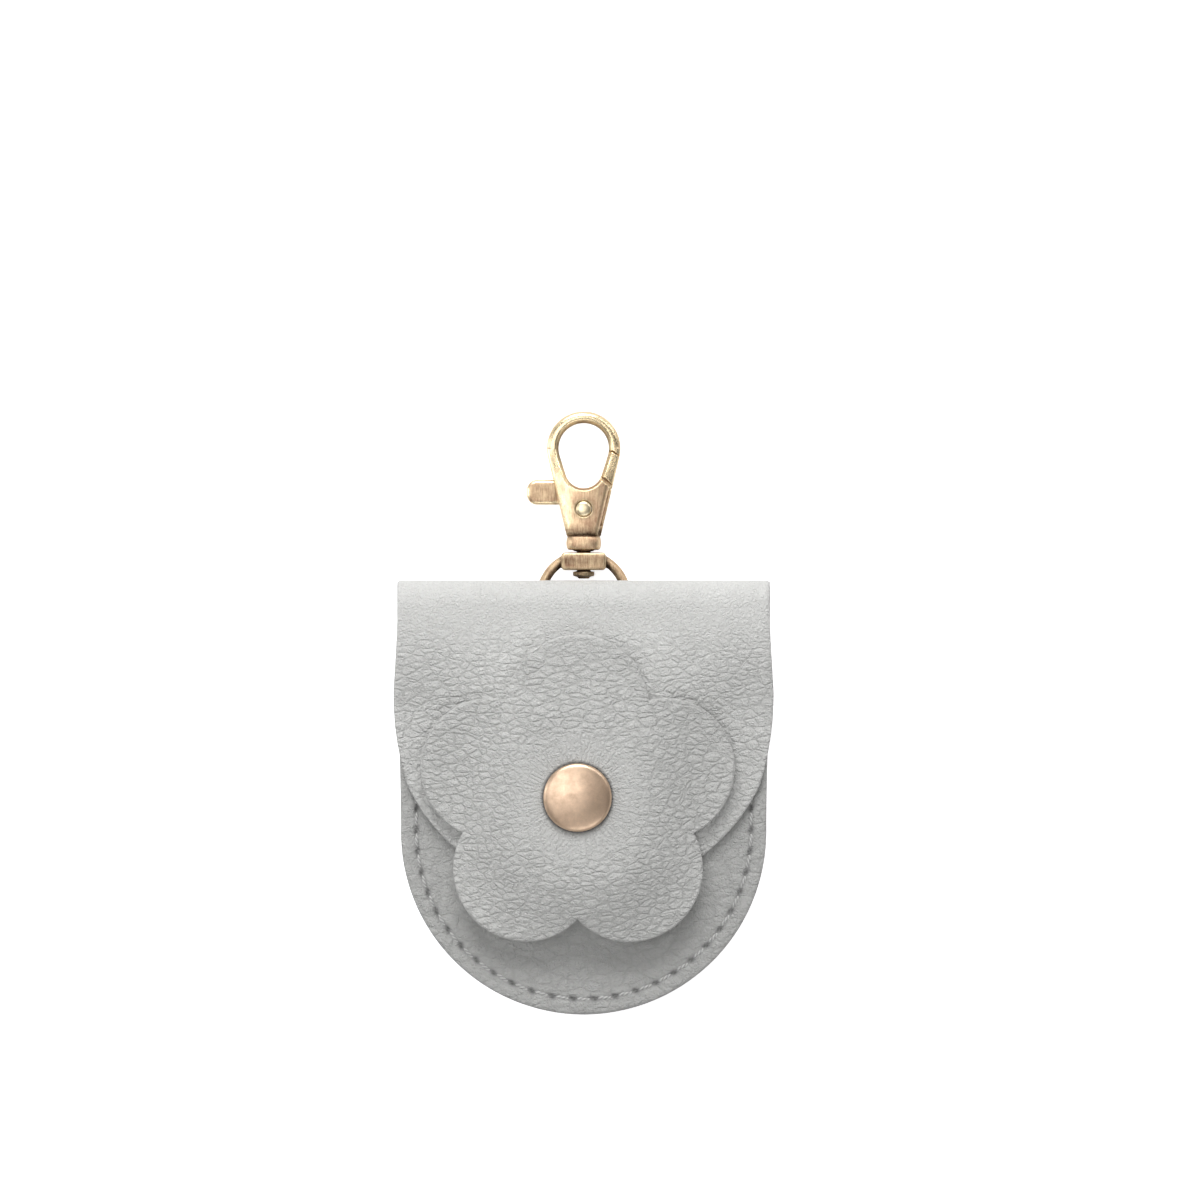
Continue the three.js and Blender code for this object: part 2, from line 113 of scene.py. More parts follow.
table_mesh = bpy.data.meshes.new("table")
table_corners = [(x, y, -0.0001) for x, y in ((-3, -3), (3, -3), (3, 3), (-3, 3))]
table_mesh.from_pydata(table_corners, [], [(0, 1, 2, 3)])
table = new_object("table", table_mesh)
table_material = bpy.data.materials.new("white_table")
table_material.use_nodes = True
table_shader = table_material.node_tree.nodes["Principled BSDF"]
table_shader.inputs["Base Color"].default_value = (0.8, 0.8, 0.81, 1.0)
table_shader.inputs["Roughness"].default_value = 0.9
table_shader.inputs["Emission Color"].default_value = (1.0, 1.0, 1.0, 1.0)
table_paths = table_material.node_tree.nodes.new("ShaderNodeLightPath")
table_glow = table_material.node_tree.nodes.new("ShaderNodeMapRange")
table_glow.inputs["To Min"].default_value = 0.1
table_glow.inputs["To Max"].default_value = 0.8
table_material.node_tree.links.new(table_paths.outputs["Is Camera Ray"], table_glow.inputs["Value"])
table_material.node_tree.links.new(table_glow.outputs[0], table_shader.inputs["Emission Strength"])
table_mesh.materials.append(table_material)

# Back, fold and flap
# One piece of grained leather, 1.6 mm thick. It makes the back, folds over at the top and comes down
# over the front as the flap. Its edges are cut square and rubbed smooth.
leather_mm = 1.6
contact_mm = 0.3
flap_ease_mm = 0.6
bottom_radius = 40.4
bottom_centre = -55.8
mouth_half_width = 41.4
fold_half_width = 41.1
flap_half_width = 42.4
flap_end_radius = 43.2
flap_end_centre = -26.8
fold_depth = 6.0
roof_height = 11.0
ring_stack = 4.4
snap_side = -1.3
snap_drop = 47.6
cap_radius = 7.5
fold_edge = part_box("back_and_flap")[1].y
flap_end_turn = math.asin(flap_half_width / flap_end_radius)
flap_end_top = flap_end_centre - flap_end_radius * math.cos(flap_end_turn)


def smooth(value, low, high):
    share = min(max((value - low) / (high - low), 0.0), 1.0)
    return share * share * (3.0 - 2.0 * share)


def mix(first, second, share):
    return first + (second - first) * share


def half_width(y):
    if y < bottom_centre:
        return math.sqrt(max(bottom_radius**2 - (y - bottom_centre) ** 2, 0.0))
    return mix(bottom_radius, mouth_half_width, smooth(y, bottom_centre, -fold_depth))


def inset(x, y):
    if y < bottom_centre:
        return bottom_radius - math.hypot(x, y - bottom_centre)
    return half_width(y) - abs(x)


def snap_distance(x, y):
    return math.hypot(x - snap_side, y + snap_drop)


def pit(x, y):
    return 1.0 - smooth(snap_distance(x, y), cap_radius, cap_radius + 12.0)


def wave(x, y, size, seed):
    return noise.noise(Vector((x / size, y / size, seed)))


def back_under(x, y):
    seamed = 2.6 * (1.0 - smooth(inset(x, y), 4.2, 20.2))
    return mix(seamed, ring_stack, smooth(y, -43.9, -15.9))


def roof_at(y):
    return roof_height - 1.6 * (1.0 - smooth(-y, 0.0, 30.0))


def front_skin(x, y):
    seam = back_under(x, y) + leather_mm + contact_mm
    return mix(seam, roof_at(y), smooth(inset(x, y), 4.2, 30.2))


def flap_under(x, y):
    standoff = 2.0 * (1.0 - smooth(snap_distance(x, y), cap_radius, 30.0))
    draped = front_skin(x, y) + leather_mm + flap_ease_mm + standoff
    arched = roof_at(y) + leather_mm + flap_ease_mm - 1.2 * (x / fold_half_width) ** 2
    arch = 1.0 - smooth(-y, fold_depth, 30.0)
    return mix(draped, arched, arch) - pit(x, y)


def flap_top(x, y):
    return flap_under(x, y) + leather_mm + 0.07 * wave(x, y, 9.0, 1.5)


# The leather lies flat in x and v: v is up to 0 on the back, then runs round the fold and down the flap
fold_run = 18.0


def place_back(x, v):
    if v <= 0.0:
        return Vector((x, v - fold_depth, back_under(x, v - fold_depth)))
    if v >= fold_run:
        y = fold_run - fold_depth - v
        return Vector((x, y, flap_top(x, y)))
    turn = math.pi * (v / fold_run - 0.5)
    low = back_under(x, -fold_depth)
    high = flap_top(x, -fold_depth)
    y = fold_depth * (math.cos(turn) - 1.0)
    return Vector((x, y, mix(low, high, (1.0 + math.sin(turn)) / 2.0)))


def steps(count, first, last):
    return [mix(first, last, i / (count - 1)) for i in range(count)]


def flap_side(y):
    """Half of the flap's width between the fold and its round end."""
    return mix(fold_half_width, flap_half_width, smooth(-y, fold_depth, -flap_end_top))


def back_outline():
    """Half of the cut leather's outline from the back's tip to the flap's tip, as rim and spine."""
    pairs = []
    low = bottom_centre + fold_depth
    for turn in steps(92, 0.0, math.pi / 2):
        pairs.append((bottom_radius * math.sin(turn), low - bottom_radius * math.cos(turn), low))
    for v in steps(74, low, 0.0)[1:]:
        pairs.append((half_width(v - fold_depth), v, v))
    for v in steps(34, 0.0, fold_run)[1:]:
        share = (1.0 + math.sin(math.pi * (v / fold_run - 0.5))) / 2.0
        pairs.append((mix(half_width(-fold_depth), fold_half_width, share), v, v))
    to_flap = fold_run - fold_depth
    for y in steps(44, -fold_depth, flap_end_top)[1:]:
        pairs.append((flap_side(y), to_flap - y, to_flap - y))
    for turn in steps(86, flap_end_turn, 0.0)[1:]:
        y = flap_end_centre - flap_end_radius * math.cos(turn)
        pairs.append((flap_end_radius * math.sin(turn), to_flap - y, to_flap - flap_end_top))
    shoulder = len(pairs) - 86
    # The corner between the flap's side and its round end is smoothed out
    for _ in range(70):
        for k in range(shoulder - 14, shoulder + 15):
            x = (pairs[k - 1][0] + pairs[k + 1][0]) / 2
            v = (pairs[k - 1][1] + pairs[k + 1][1]) / 2
            pairs[k] = (x, v, min(v, to_flap - flap_end_top))
    return pairs


def inward(count, near=0.45):
    """Shares of the way in from the rim. They crowd at the rim."""
    return [near * k / count + (1.0 - near) * (k / count) ** 2 for k in range(count + 1)]


def metres(point):
    return (point.x * 0.001, point.y * 0.001 + fold_edge, point.z * 0.001)


def leather_piece(name, rays, place, thickness, side, rounding, edge, ring=True, hole=False):
    """A closed sheet from rays of flat points. place gives a face, and side says which way the leather
    lies from it. edge is the distance in from the cut, where both faces are rounded over."""
    step = 0.05
    near_face = []
    far_face = []
    for ray in rays:
        for x, v in ray:
            point = place(x, v)
            along_x = place(x + step, v) - place(x - step, v)
            along_v = place(x, v + step) - place(x, v - step)
            normal = along_x.cross(along_v).normalized() * side
            depth = min(max(edge(x, v), 0.0), rounding)
            drop = rounding - math.sqrt(rounding**2 - (rounding - depth) ** 2)
            near_face.append(metres(point + normal * drop))
            far_face.append(metres(point + normal * (thickness - drop)))
    count = len(rays[0])
    total = len(rays) * count
    faces = []
    kinds = []
    spans = len(rays) if ring else len(rays) - 1
    for i in range(spans):
        for k in range(count - 1):
            a = i * count + k
            b = (i + 1) % len(rays) * count + k
            faces.append((a, b, b + 1, a + 1))
            kinds.append(0)
            faces.append((total + a, total + a + 1, total + b + 1, total + b))
            kinds.append(1)
        a = i * count
        b = (i + 1) % len(rays) * count
        faces.append((a, total + a, total + b, b))
        kinds.append(2)
        if hole:
            a += count - 1
            b += count - 1
            faces.append((a, b, total + b, total + a))
            kinds.append(2)
    if not ring:
        for start in (0, (len(rays) - 1) * count):
            for k in range(count - 1):
                a = start + k
                quad = (a, a + 1, total + a + 1, total + a)
                faces.append(quad if start == 0 else quad[::-1])
                kinds.append(2)
    mesh = bpy.data.meshes.new(name)
    mesh.from_pydata(near_face + far_face, [], faces)
    mesh.polygons.foreach_set("material_index", kinds)
    work = bmesh.new()
    work.from_mesh(mesh)
    bmesh.ops.remove_doubles(work, verts=work.verts, dist=1e-7)
    bmesh.ops.recalc_face_normals(work, faces=work.faces)
    work.to_mesh(mesh)
    work.free()
    mesh.polygons.foreach_set("use_smooth", [True] * len(mesh.polygons))
    return new_object(name, mesh)


class Tree:
    """Short ways to add nodes to a node tree and join them."""

    def __init__(self, tree):
        self.tree = tree

    def add(self, kind, inputs=None, **settings):
        node = self.tree.nodes.new(kind)
        for key, value in settings.items():
            setattr(node, key, value)
        self.feed(node, inputs or {})
        return node

    def feed(self, node, inputs):
        """Links or sets a node's inputs."""
        for key, value in inputs.items():
            if isinstance(value, bpy.types.NodeSocket):
                self.tree.links.new(value, node.inputs[key])
            else:
                node.inputs[key].default_value = value

    def place_mm(self):
        """Place on the piece in millimetres."""
        return self.scaled(self.add("ShaderNodeTexCoord").outputs["Object"], 1000.0)

    def mark(self, name):
        """A value stored on the mesh."""
        return self.add("ShaderNodeAttribute", attribute_name=name).outputs["Fac"]

    def math(self, operation, first, second=0.0, clamp=False):
        inputs = {0: first, 1: second}
        return self.add("ShaderNodeMath", inputs, operation=operation, use_clamp=clamp).outputs[0]

    def vector(self, operation, first, second=(0, 0, 0)):
        node = self.add("ShaderNodeVectorMath", {0: first, 1: second}, operation=operation)
        return node.outputs["Value" if operation == "LENGTH" else "Vector"]

    def scaled(self, vector, scale):
        return self.add("ShaderNodeVectorMath", {0: vector, "Scale": scale}, operation="SCALE").outputs[0]

    def ranged(self, value, low, high, first=0.0, last=1.0, soft=False):
        inputs = {"Value": value, "From Min": low, "From Max": high, "To Min": first, "To Max": last}
        kind = "SMOOTHSTEP" if soft else "LINEAR"
        return self.add("ShaderNodeMapRange", inputs, interpolation_type=kind).outputs[0]

    def colours(self, share, first, second):
        inputs = {0: share, 6: first, 7: second}
        return self.add("ShaderNodeMix", inputs, data_type="RGBA").outputs[2]

    def noise(self, vector, scale, detail=2.0, rough=0.5):
        inputs = {"Vector": vector, "Scale": scale, "Detail": detail, "Roughness": rough}
        return self.add("ShaderNodeTexNoise", inputs)

    def cells(self, vector, scale):
        """Distance to the nearest edge of cells."""
        inputs = {"Vector": vector, "Scale": scale}
        return self.add("ShaderNodeTexVoronoi", inputs, feature="DISTANCE_TO_EDGE").outputs["Distance"]

    def bumped(self, height, strength, depth_mm):
        inputs = {"Height": height, "Strength": strength, "Distance": depth_mm * 0.001}
        return self.add("ShaderNodeBump", inputs).outputs["Normal"]


def new_material(name):
    """A material with its node tree and its shader."""
    material = bpy.data.materials.new(name)
    material.use_nodes = True
    return material, Tree(material.node_tree), material.node_tree.nodes["Principled BSDF"]


def shaded(tone, factor):
    """A tone made lighter or darker, as a full colour."""
    return tuple(part * factor for part in tone) + (1.0,)


def shader_group(name, inputs, outputs):
    group = bpy.data.node_groups.new(name, "ShaderNodeTree")
    for label, kind, value in inputs:
        socket = group.interface.new_socket(label, in_out="INPUT", socket_type=kind)
        socket.default_value = value
    for label, kind in outputs:
        group.interface.new_socket(label, in_out="OUTPUT", socket_type=kind)
    return group, group.nodes.new("NodeGroupInput"), group.nodes.new("NodeGroupOutput")


grain_group, grain_in, grain_out = shader_group(
    "leather_grain",
    [
        ("Position", "NodeSocketVector", (0, 0, 0)),
        ("Crease Position", "NodeSocketVector", (0, 0, 0)),
        ("Pebble Size", "NodeSocketFloat", 0.8),
        ("Crease Depth", "NodeSocketFloat", 1.0),
    ],
    [("Height", "NodeSocketFloat"), ("Crease", "NodeSocketFloat")],
)
grain = Tree(grain_group)
grain_place = grain_in.outputs["Position"]
grain_warp = grain.noise(grain_place, 0.9, 2.0).outputs["Color"]
grain_warp = grain.scaled(grain.vector("SUBTRACT", grain_warp, (0.5, 0.5, 0.5)), 0.9)
grain_bent = grain.vector("ADD", grain_place, grain_warp)
pebble_scale = grain.math("DIVIDE", 1.0, grain_in.outputs["Pebble Size"])
pebble_edge = grain.cells(grain_bent, pebble_scale)
pebbles = grain.ranged(pebble_edge, 0.0, 0.32, 0.0, 1.0, soft=True)
pores = grain.noise(grain_place, 3.4, 3.0, 0.6).outputs["Fac"]
crease_warp = grain.noise(grain_in.outputs["Crease Position"], 0.8, 3.0, 0.6).outputs["Color"]
crease_warp = grain.scaled(grain.vector("SUBTRACT", crease_warp, (0.5, 0.5, 0.5)), 0.55)
crease_bent = grain.vector("ADD", grain_in.outputs["Crease Position"], crease_warp)
crease_edge = grain.cells(crease_bent, 1.0)
crease_line = grain.ranged(crease_edge, 0.02, 0.18, 1.0, 0.0, soft=True)
crease_soft = grain.ranged(crease_edge, 0.0, 0.5, 1.0, 0.0)
small_edge = grain.cells(crease_bent, 2.1)
small_line = grain.ranged(small_edge, 0.02, 0.24, 1.0, 0.0, soft=True)
patch = grain.noise(grain_place, 0.16, 2.0).outputs["Fac"]
patchy = grain.ranged(patch, 0.36, 0.6, 0.75, 1.0, soft=True)
small_part = grain.math("MULTIPLY", grain.math("MULTIPLY", small_line, 0.45), patchy)
crease_sum = grain.math("MAXIMUM", grain.math("MULTIPLY", crease_line, patchy), small_part)
crease_all = grain.math("MULTIPLY", crease_sum, grain_in.outputs["Crease Depth"])
fine = grain.math("ADD", grain.math("MULTIPLY", pebbles, 0.4), grain.math("MULTIPLY", pores, 0.6))
sunk = grain.math("MULTIPLY", crease_soft, grain_in.outputs["Crease Depth"])
hollow = grain.math("ADD", grain.math("MULTIPLY", crease_all, 0.5), grain.math("MULTIPLY", sunk, 0.9))
grain_height = grain.math("SUBTRACT", fine, hollow)
grain_group.links.new(grain_height, grain_out.inputs["Height"])
grain_group.links.new(crease_all, grain_out.inputs["Crease"])


def grained_leather(name, tone, crease_size, crease_depth, pebble_size, bump, pulled=False, sewn=False):
    """Grained face of the leather, with painted shade in its creases. pulled makes its creases run out
    from the snap, and paints shade where it meets the cap. sewn paints shade in the stitched groove."""
    material, nodes, shader = new_material(name)
    in_mm = nodes.place_mm()
    size = (1.0 / crease_size[0], 1.0 / crease_size[1], 1.0 / crease_size[1])
    crease_place = nodes.vector("MULTIPLY", in_mm, size)
    down = nodes.add("ShaderNodeSeparateXYZ", {0: in_mm}).outputs["Y"]
    fold_mm = fold_edge * 1000.0
    depth = nodes.ranged(down, fold_mm - 20.0, fold_mm - 5.0, crease_depth, 0.1, soft=True)
    group = nodes.add("ShaderNodeGroup", node_tree=grain_group)
    nodes.feed(group, {"Position": in_mm, "Crease Position": crease_place})
    nodes.feed(group, {"Crease Depth": depth, "Pebble Size": pebble_size})
    height = group.outputs["Height"]
    crease = group.outputs["Crease"]
    if pulled:
        centre = (cap_middle.x * 1000.0, cap_middle.y * 1000.0, 0.0)
        from_snap = nodes.vector("SUBTRACT", in_mm, centre)
        flat = nodes.vector("MULTIPLY", from_snap, (1.0, 1.0, 0.0))
        outward = nodes.vector("LENGTH", flat)
        round_part = nodes.scaled(nodes.vector("NORMALIZE", flat), 10.5)
        reach = nodes.math("DIVIDE", outward, 4.4)
        lift = nodes.add("ShaderNodeCombineXYZ", {"Z": reach}).outputs[0]
        near = nodes.add("ShaderNodeGroup", node_tree=grain_group)
        nodes.feed(near, {"Position": in_mm, "Crease Position": nodes.vector("ADD", round_part, lift)})
        nodes.feed(near, {"Crease Depth": 0.5 * crease_depth, "Pebble Size": pebble_size})
        share = nodes.ranged(outward, 9.0, 18.0, 0.0, 1.0, soft=True)
        blend_height = {0: share, 2: near.outputs["Height"], 3: height}
        blend_crease = {0: share, 2: near.outputs["Crease"], 3: crease}
        height = nodes.add("ShaderNodeMix", blend_height, data_type="FLOAT").outputs[0]
        crease = nodes.add("ShaderNodeMix", blend_crease, data_type="FLOAT").outputs[0]
    cloud = nodes.noise(in_mm, 0.05, 3.0).outputs["Fac"]
    light_tone = shaded(tone, 1.03)
    dark_tone = shaded(tone, 0.97)
    # Painted shade: the creases are darkened towards a much darker copy of the tone.
    crease_shade_tone = shaded(tone, 0.45)
    shade = nodes.colours(nodes.ranged(cloud, 0.3, 0.7), light_tone, dark_tone)
    colour = nodes.colours(nodes.math("MULTIPLY", crease, 0.36), shade, crease_shade_tone)
    # Painted shade: a near-black copy of the tone, laid where the leather meets the cap and in the stitched
    # groove.
    painted_shade_tone = shaded(tone, 0.12)
    if pulled:
        cap_contact_shade = nodes.ranged(outward, 7.45, 8.4, 0.85, 0.0, soft=True)
        colour = nodes.colours(cap_contact_shade, colour, painted_shade_tone)
    # Painted shade in the stitched groove and at the needle holes, from the front panel's groove values.
    if sewn:
        colour = nodes.colours(nodes.mark("groove"), colour, painted_shade_tone)
    rough = nodes.ranged(height, -0.8, 0.9, 0.72, 0.52)
    bumped = nodes.bumped(height, 1.0, bump)
    nodes.feed(shader, {"Base Color": colour, "Roughness": rough, "Normal": bumped})
    shader.inputs["Specular IOR Level"].default_value = 0.45
    return material


def suede_leather(name, tone):
    """Flesh side of the leather, a short matt nap."""
    material, nodes, shader = new_material(name)
    in_mm = nodes.place_mm()
    nap = nodes.noise(in_mm, 2.2, 5.0, 0.7).outputs["Fac"]
    cloud = nodes.noise(in_mm, 0.12, 3.0).outputs["Fac"]
    both = nodes.math("ADD", nodes.math("MULTIPLY", nap, 0.6), nodes.math("MULTIPLY", cloud, 0.4))
    light_tone = shaded(tone, 1.08)
    dark_tone = shaded(tone, 0.85)
    colour = nodes.colours(nodes.ranged(both, 0.35, 0.65), dark_tone, light_tone)
    nodes.feed(shader, {"Base Color": colour, "Normal": nodes.bumped(nap, 0.6, 0.3)})
    shader.inputs["Roughness"].default_value = 0.95
    shader.inputs["Sheen Weight"].default_value = 0.3
    return material


def cut_edge(name, tone):
    """Cut edge of the leather, rubbed smooth and dyed like its face."""
    material, nodes, shader = new_material(name)
    in_mm = nodes.place_mm()
    layers = nodes.noise(nodes.vector("MULTIPLY", in_mm, (0.8, 0.8, 5.0)), 1.0, 4.0, 0.6).outputs["Fac"]
    light_tone = shaded(tone, 1.05)
    dark_tone = shaded(tone, 0.8)
    colour = nodes.colours(nodes.ranged(layers, 0.3, 0.7), dark_tone, light_tone)
    nodes.feed(shader, {"Base Color": colour, "Normal": nodes.bumped(layers, 0.5, 0.1)})
    shader.inputs["Roughness"].default_value = 0.6
    return material


flap_leather = grained_leather("grey_grained_leather", (0.585, 0.585, 0.571), (2.7, 1.6), 0.85, 0.85, 0.27)
suede = suede_leather("grey_suede_side", (0.34, 0.34, 0.335))
edge_finish = cut_edge("grey_cut_edge", (0.6, 0.6, 0.585))


def dress_leather(piece, outer, outer_is_near):
    """Materials in the order near face, far face, cut edge."""
    faces = (outer, suede) if outer_is_near else (suede, outer)
    for material in (*faces, edge_finish):
        piece.data.materials.append(material)


back_right = back_outline()
back_rim = back_right[:-1] + [(-x, v, spine) for x, v, spine in back_right[:0:-1]]
back_shares = inward(38)
back_rays = [
    [(mix(x, 0.0, share), mix(v, spine, share)) for share in back_shares]
    for x, v, spine in back_rim
]


def back_edge(x, v):
    if v <= 0.0:
        return inset(x, v - fold_depth)
    y = fold_run - fold_depth - v
    if v < fold_run:
        return fold_half_width - abs(x)
    if y > flap_end_top:
        return flap_side(y) - abs(x)
    return flap_end_radius - math.hypot(x, y - flap_end_centre)


back_and_flap = leather_piece(
    "leather_back_and_flap", back_rays, place_back, leather_mm, 1, 0.4, back_edge
)
dress_leather(back_and_flap, flap_leather, outer_is_near=True)
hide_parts("back_and_flap")
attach(back_and_flap, "pouch")

# Front panel
# A U of the same leather, laid on the back and stitched to it round its edge. The thread pulls a shallow
# groove into it, and the leather swells a little on both sides of the groove.
front_drop = 14.0
seam_inset = 3.3
stitch_pitch = 4.7


def seam_run(x, y):
    """Length along the seam from the tip of the pouch."""
    if y < bottom_centre:
        return math.atan2(abs(x), bottom_centre - y) * (bottom_radius - seam_inset)
    return math.pi / 2 * (bottom_radius - seam_inset) + y - bottom_centre


def seam_relief(x, y):
    """Groove, swelling and needle holes along the seam."""
    away = inset(x, y) - seam_inset
    groove = math.exp(-((away / 0.5) ** 2))
    border = math.sin(math.pi * min(max(inset(x, y) / seam_inset, 0.0), 1.0))
    body = math.exp(-(((away - 2.0) / 1.6) ** 2)) if away > 0 else 0.0
    return 0.28 * border + 0.12 * body - groove * (0.35 + 0.5 * needle_hole(x, y, away))


def needle_hole(x, y, away):
    """One at a needle hole and nothing between the holes. The holes slant across the seam."""
    slant = 0.5 * away * (1 if x > 0 else -1)
    spot = ((seam_run(x, y) + slant) / stitch_pitch) % 1.0 - 0.5
    return math.exp(-((spot * stitch_pitch / 0.7) ** 2))


def groove_shade(x, y):
    """How dark the leather is painted along the seam: painted shade in the groove and at the needle holes.
    """
    away = inset(x, y) - seam_inset
    line = math.exp(-((away / 0.42) ** 2))
    hole = math.exp(-((away / 0.7) ** 2)) * needle_hole(x, y, away)
    return min(0.36 * line + 0.62 * hole, 1.0)


def front_under(x, y):
    return front_skin(x, y) - 3.0 * pit(x, y)


def place_front(x, v):
    shape = front_under(x, v) + 0.1 * wave(x, v, 11.0, 7.5)
    return Vector((x, v, shape + seam_relief(x, v)))


front_outline = []
for front_turn in steps(170, 0.0, math.pi / 2):
    front_y = bottom_centre - bottom_radius * math.cos(front_turn)
    front_outline.append((bottom_radius * math.sin(front_turn), front_y, bottom_centre))
for front_y in steps(108, bottom_centre, -front_drop - 0.8)[1:]:
    front_outline.append((half_width(front_y), front_y, front_y))
for front_y in (-front_drop - 0.45, -front_drop - 0.2, -front_drop - 0.06, -front_drop):
    front_outline.append((half_width(front_y), front_y, front_y))
front_rim = [(-x, v, spine) for x, v, spine in front_outline[:0:-1]] + front_outline
seam_first = (seam_inset - 1.2) / bottom_radius
seam_last = (seam_inset + 1.2) / bottom_radius
front_shares = [share for share in inward(44) if not seam_first - 0.004 < share < seam_last + 0.004]
front_shares = sorted(front_shares + steps(15, seam_first, seam_last))
front_rays = [
    [(mix(x, 0.0, share), mix(v, spine, share)) for share in front_shares]
    for x, v, spine in front_rim
]


def front_edge(x, v):
    return min(inset(x, v), -front_drop - v)


# The front is the same leather as the flap in a darker tone: painted shade.
front_shaded_tone = (0.425, 0.425, 0.415)
front_shaded_leather = grained_leather("grey_front_leather_shaded", front_shaded_tone, (3.6, 2.4), 0.6, 0.85, 0.28, sewn=True)
front_panel = leather_piece(
    "leather_front_panel", front_rays, place_front, leather_mm, 1, 0.4, front_edge, ring=False
)
dress_leather(front_panel, front_shaded_leather, outer_is_near=False)
# Painted shade along the seam, stored on the front panel for its material.
groove_shade_values = [
    groove_shade(vertex.co.x * 1000.0, (vertex.co.y - fold_edge) * 1000.0)
    for vertex in front_panel.data.vertices
]
groove_shade_mark = front_panel.data.attributes.new("groove", "FLOAT", "POINT")
groove_shade_mark.data.foreach_set("value", groove_shade_values)
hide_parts("front_panel")
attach(front_panel, "pouch")

# Thread round the front
# A heavy waxed thread in the leather's grey, sewn through front and back with 4.7 mm stitches. It shows
# on both faces, sunk into the groove, and goes down at each needle hole.
stitch_group = bpy.data.node_groups.new("row_of_stitches", "GeometryNodeTree")
stitch_ports = {}
for label, kind in (
    ("Geometry", "NodeSocketGeometry"),
    ("Count", "NodeSocketInt"),
    ("Length", "NodeSocketFloat"),
    ("Thread Radius", "NodeSocketFloat"),
    ("Arch", "NodeSocketFloat"),
    ("Sink", "NodeSocketFloat"),
    ("Slant", "NodeSocketFloat"),
    ("Seed", "NodeSocketInt"),
    ("Material", "NodeSocketMaterial"),
):
    port = stitch_group.interface.new_socket(label, in_out="INPUT", socket_type=kind)
    stitch_ports[label] = port.identifier
stitch_group.interface.new_socket("Geometry", in_out="OUTPUT", socket_type="NodeSocketGeometry")
sewing = Tree(stitch_group)
sewing_in = sewing.add("NodeGroupInput").outputs
seam_curve = sewing.add("GeometryNodeMeshToCurve", {"Mesh": sewing_in["Geometry"]}).outputs[0]
seam_points = sewing.add(
    "GeometryNodeResampleCurve", {"Curve": seam_curve, "Count": sewing_in["Count"]}, mode="COUNT"
).outputs[0]
half_length = sewing.math("MULTIPLY", sewing_in["Length"], 0.5)
below = sewing.math("MULTIPLY", sewing_in["Sink"], -1.0)
stitch_start = sewing.add(
    "ShaderNodeCombineXYZ", {"X": sewing.math("MULTIPLY", half_length, -1.0), "Z": below}
).outputs[0]
stitch_end = sewing.add("ShaderNodeCombineXYZ", {"X": half_length, "Z": below}).outputs[0]
stitch_top = sewing.add("ShaderNodeCombineXYZ", {"Z": sewing_in["Arch"]}).outputs[0]
stitch_line = sewing.add(
    "GeometryNodeCurveQuadraticBezier",
    {"Start": stitch_start, "Middle": stitch_top, "End": stitch_end, "Resolution": 9},
).outputs[0]
spline_share = sewing.add("GeometryNodeSplineParameter").outputs["Factor"]
marked_line = sewing.add(
    "GeometryNodeStoreNamedAttribute",
    {"Geometry": stitch_line, "Name": "along", "Value": spline_share},
    data_type="FLOAT",
    domain="POINT",
).outputs[0]
thread_round = sewing.add(
    "GeometryNodeCurvePrimitiveCircle", {"Resolution": 10, "Radius": sewing_in["Thread Radius"]}
).outputs[0]
marked_round = sewing.add(
    "GeometryNodeStoreNamedAttribute",
    {"Geometry": thread_round, "Name": "around", "Value": spline_share},
    data_type="FLOAT",
    domain="POINT",
).outputs[0]
one_stitch = sewing.add(
    "GeometryNodeCurveToMesh",
    {"Curve": marked_line, "Profile Curve": marked_round, "Fill Caps": True},
).outputs[0]
lift = sewing.add("GeometryNodeInputNamedAttribute", {"Name": "lift"}, data_type="FLOAT_VECTOR").outputs[0]
seam_way = sewing.add("GeometryNodeInputTangent").outputs[0]
stitch_turn = sewing.add(
    "FunctionNodeAxesToRotation",
    {"Primary Axis": seam_way, "Secondary Axis": lift},
    primary_axis="X",
    secondary_axis="Z",
).outputs[0]
sewn = sewing.add(
    "GeometryNodeInstanceOnPoints",
    {"Points": seam_points, "Instance": one_stitch, "Rotation": stitch_turn},
).outputs[0]
wobble = sewing.add(
    "FunctionNodeRandomValue",
    {2: -0.05, 3: 0.05, "Seed": sewing_in["Seed"]},
    data_type="FLOAT",
).outputs[1]
slanted = sewing.add(
    "ShaderNodeCombineXYZ", {"Z": sewing.math("ADD", sewing_in["Slant"], wobble)}
).outputs[0]
laid = sewing.add("GeometryNodeRotateInstances", {"Instances": sewn, "Rotation": slanted}).outputs[0]
real = sewing.add("GeometryNodeRealizeInstances", {"Geometry": laid}).outputs[0]
rounded = sewing.add("GeometryNodeSetShadeSmooth", {"Geometry": real}).outputs[0]
coloured = sewing.add(
    "GeometryNodeSetMaterial", {"Geometry": rounded, "Material": sewing_in["Material"]}
).outputs[0]
sewing.add("NodeGroupOutput", {"Geometry": coloured})

thread_material, thread, thread_shader = new_material("grey_waxed_thread")
turns_along = thread.math("MULTIPLY", thread.mark("along"), 4.0)
turns_around = thread.math("MULTIPLY", thread.mark("around"), 3.0)
ply = thread.math("ADD", turns_along, turns_around)
ply_wave = thread.math("SINE", thread.math("MULTIPLY", ply, 2 * math.pi))
ply_height = thread.ranged(ply_wave, -1.0, 1.0)
# The thread is darker in the grooves between its plies: painted shade.
thread_colour = thread.colours(ply_height, (0.3, 0.3, 0.295, 1.0), (0.52, 0.52, 0.51, 1.0))
thread_bump = thread.bumped(ply_height, 0.7, 0.1)
thread.feed(thread_shader, {"Base Color": thread_colour, "Normal": thread_bump})
thread_shader.inputs["Roughness"].default_value = 0.55


def evaluated(piece):
    """The mesh of a piece with its modifiers applied."""
    graph = bpy.context.evaluated_depsgraph_get()
    return bpy.data.meshes.new_from_object(piece.evaluated_get(graph))


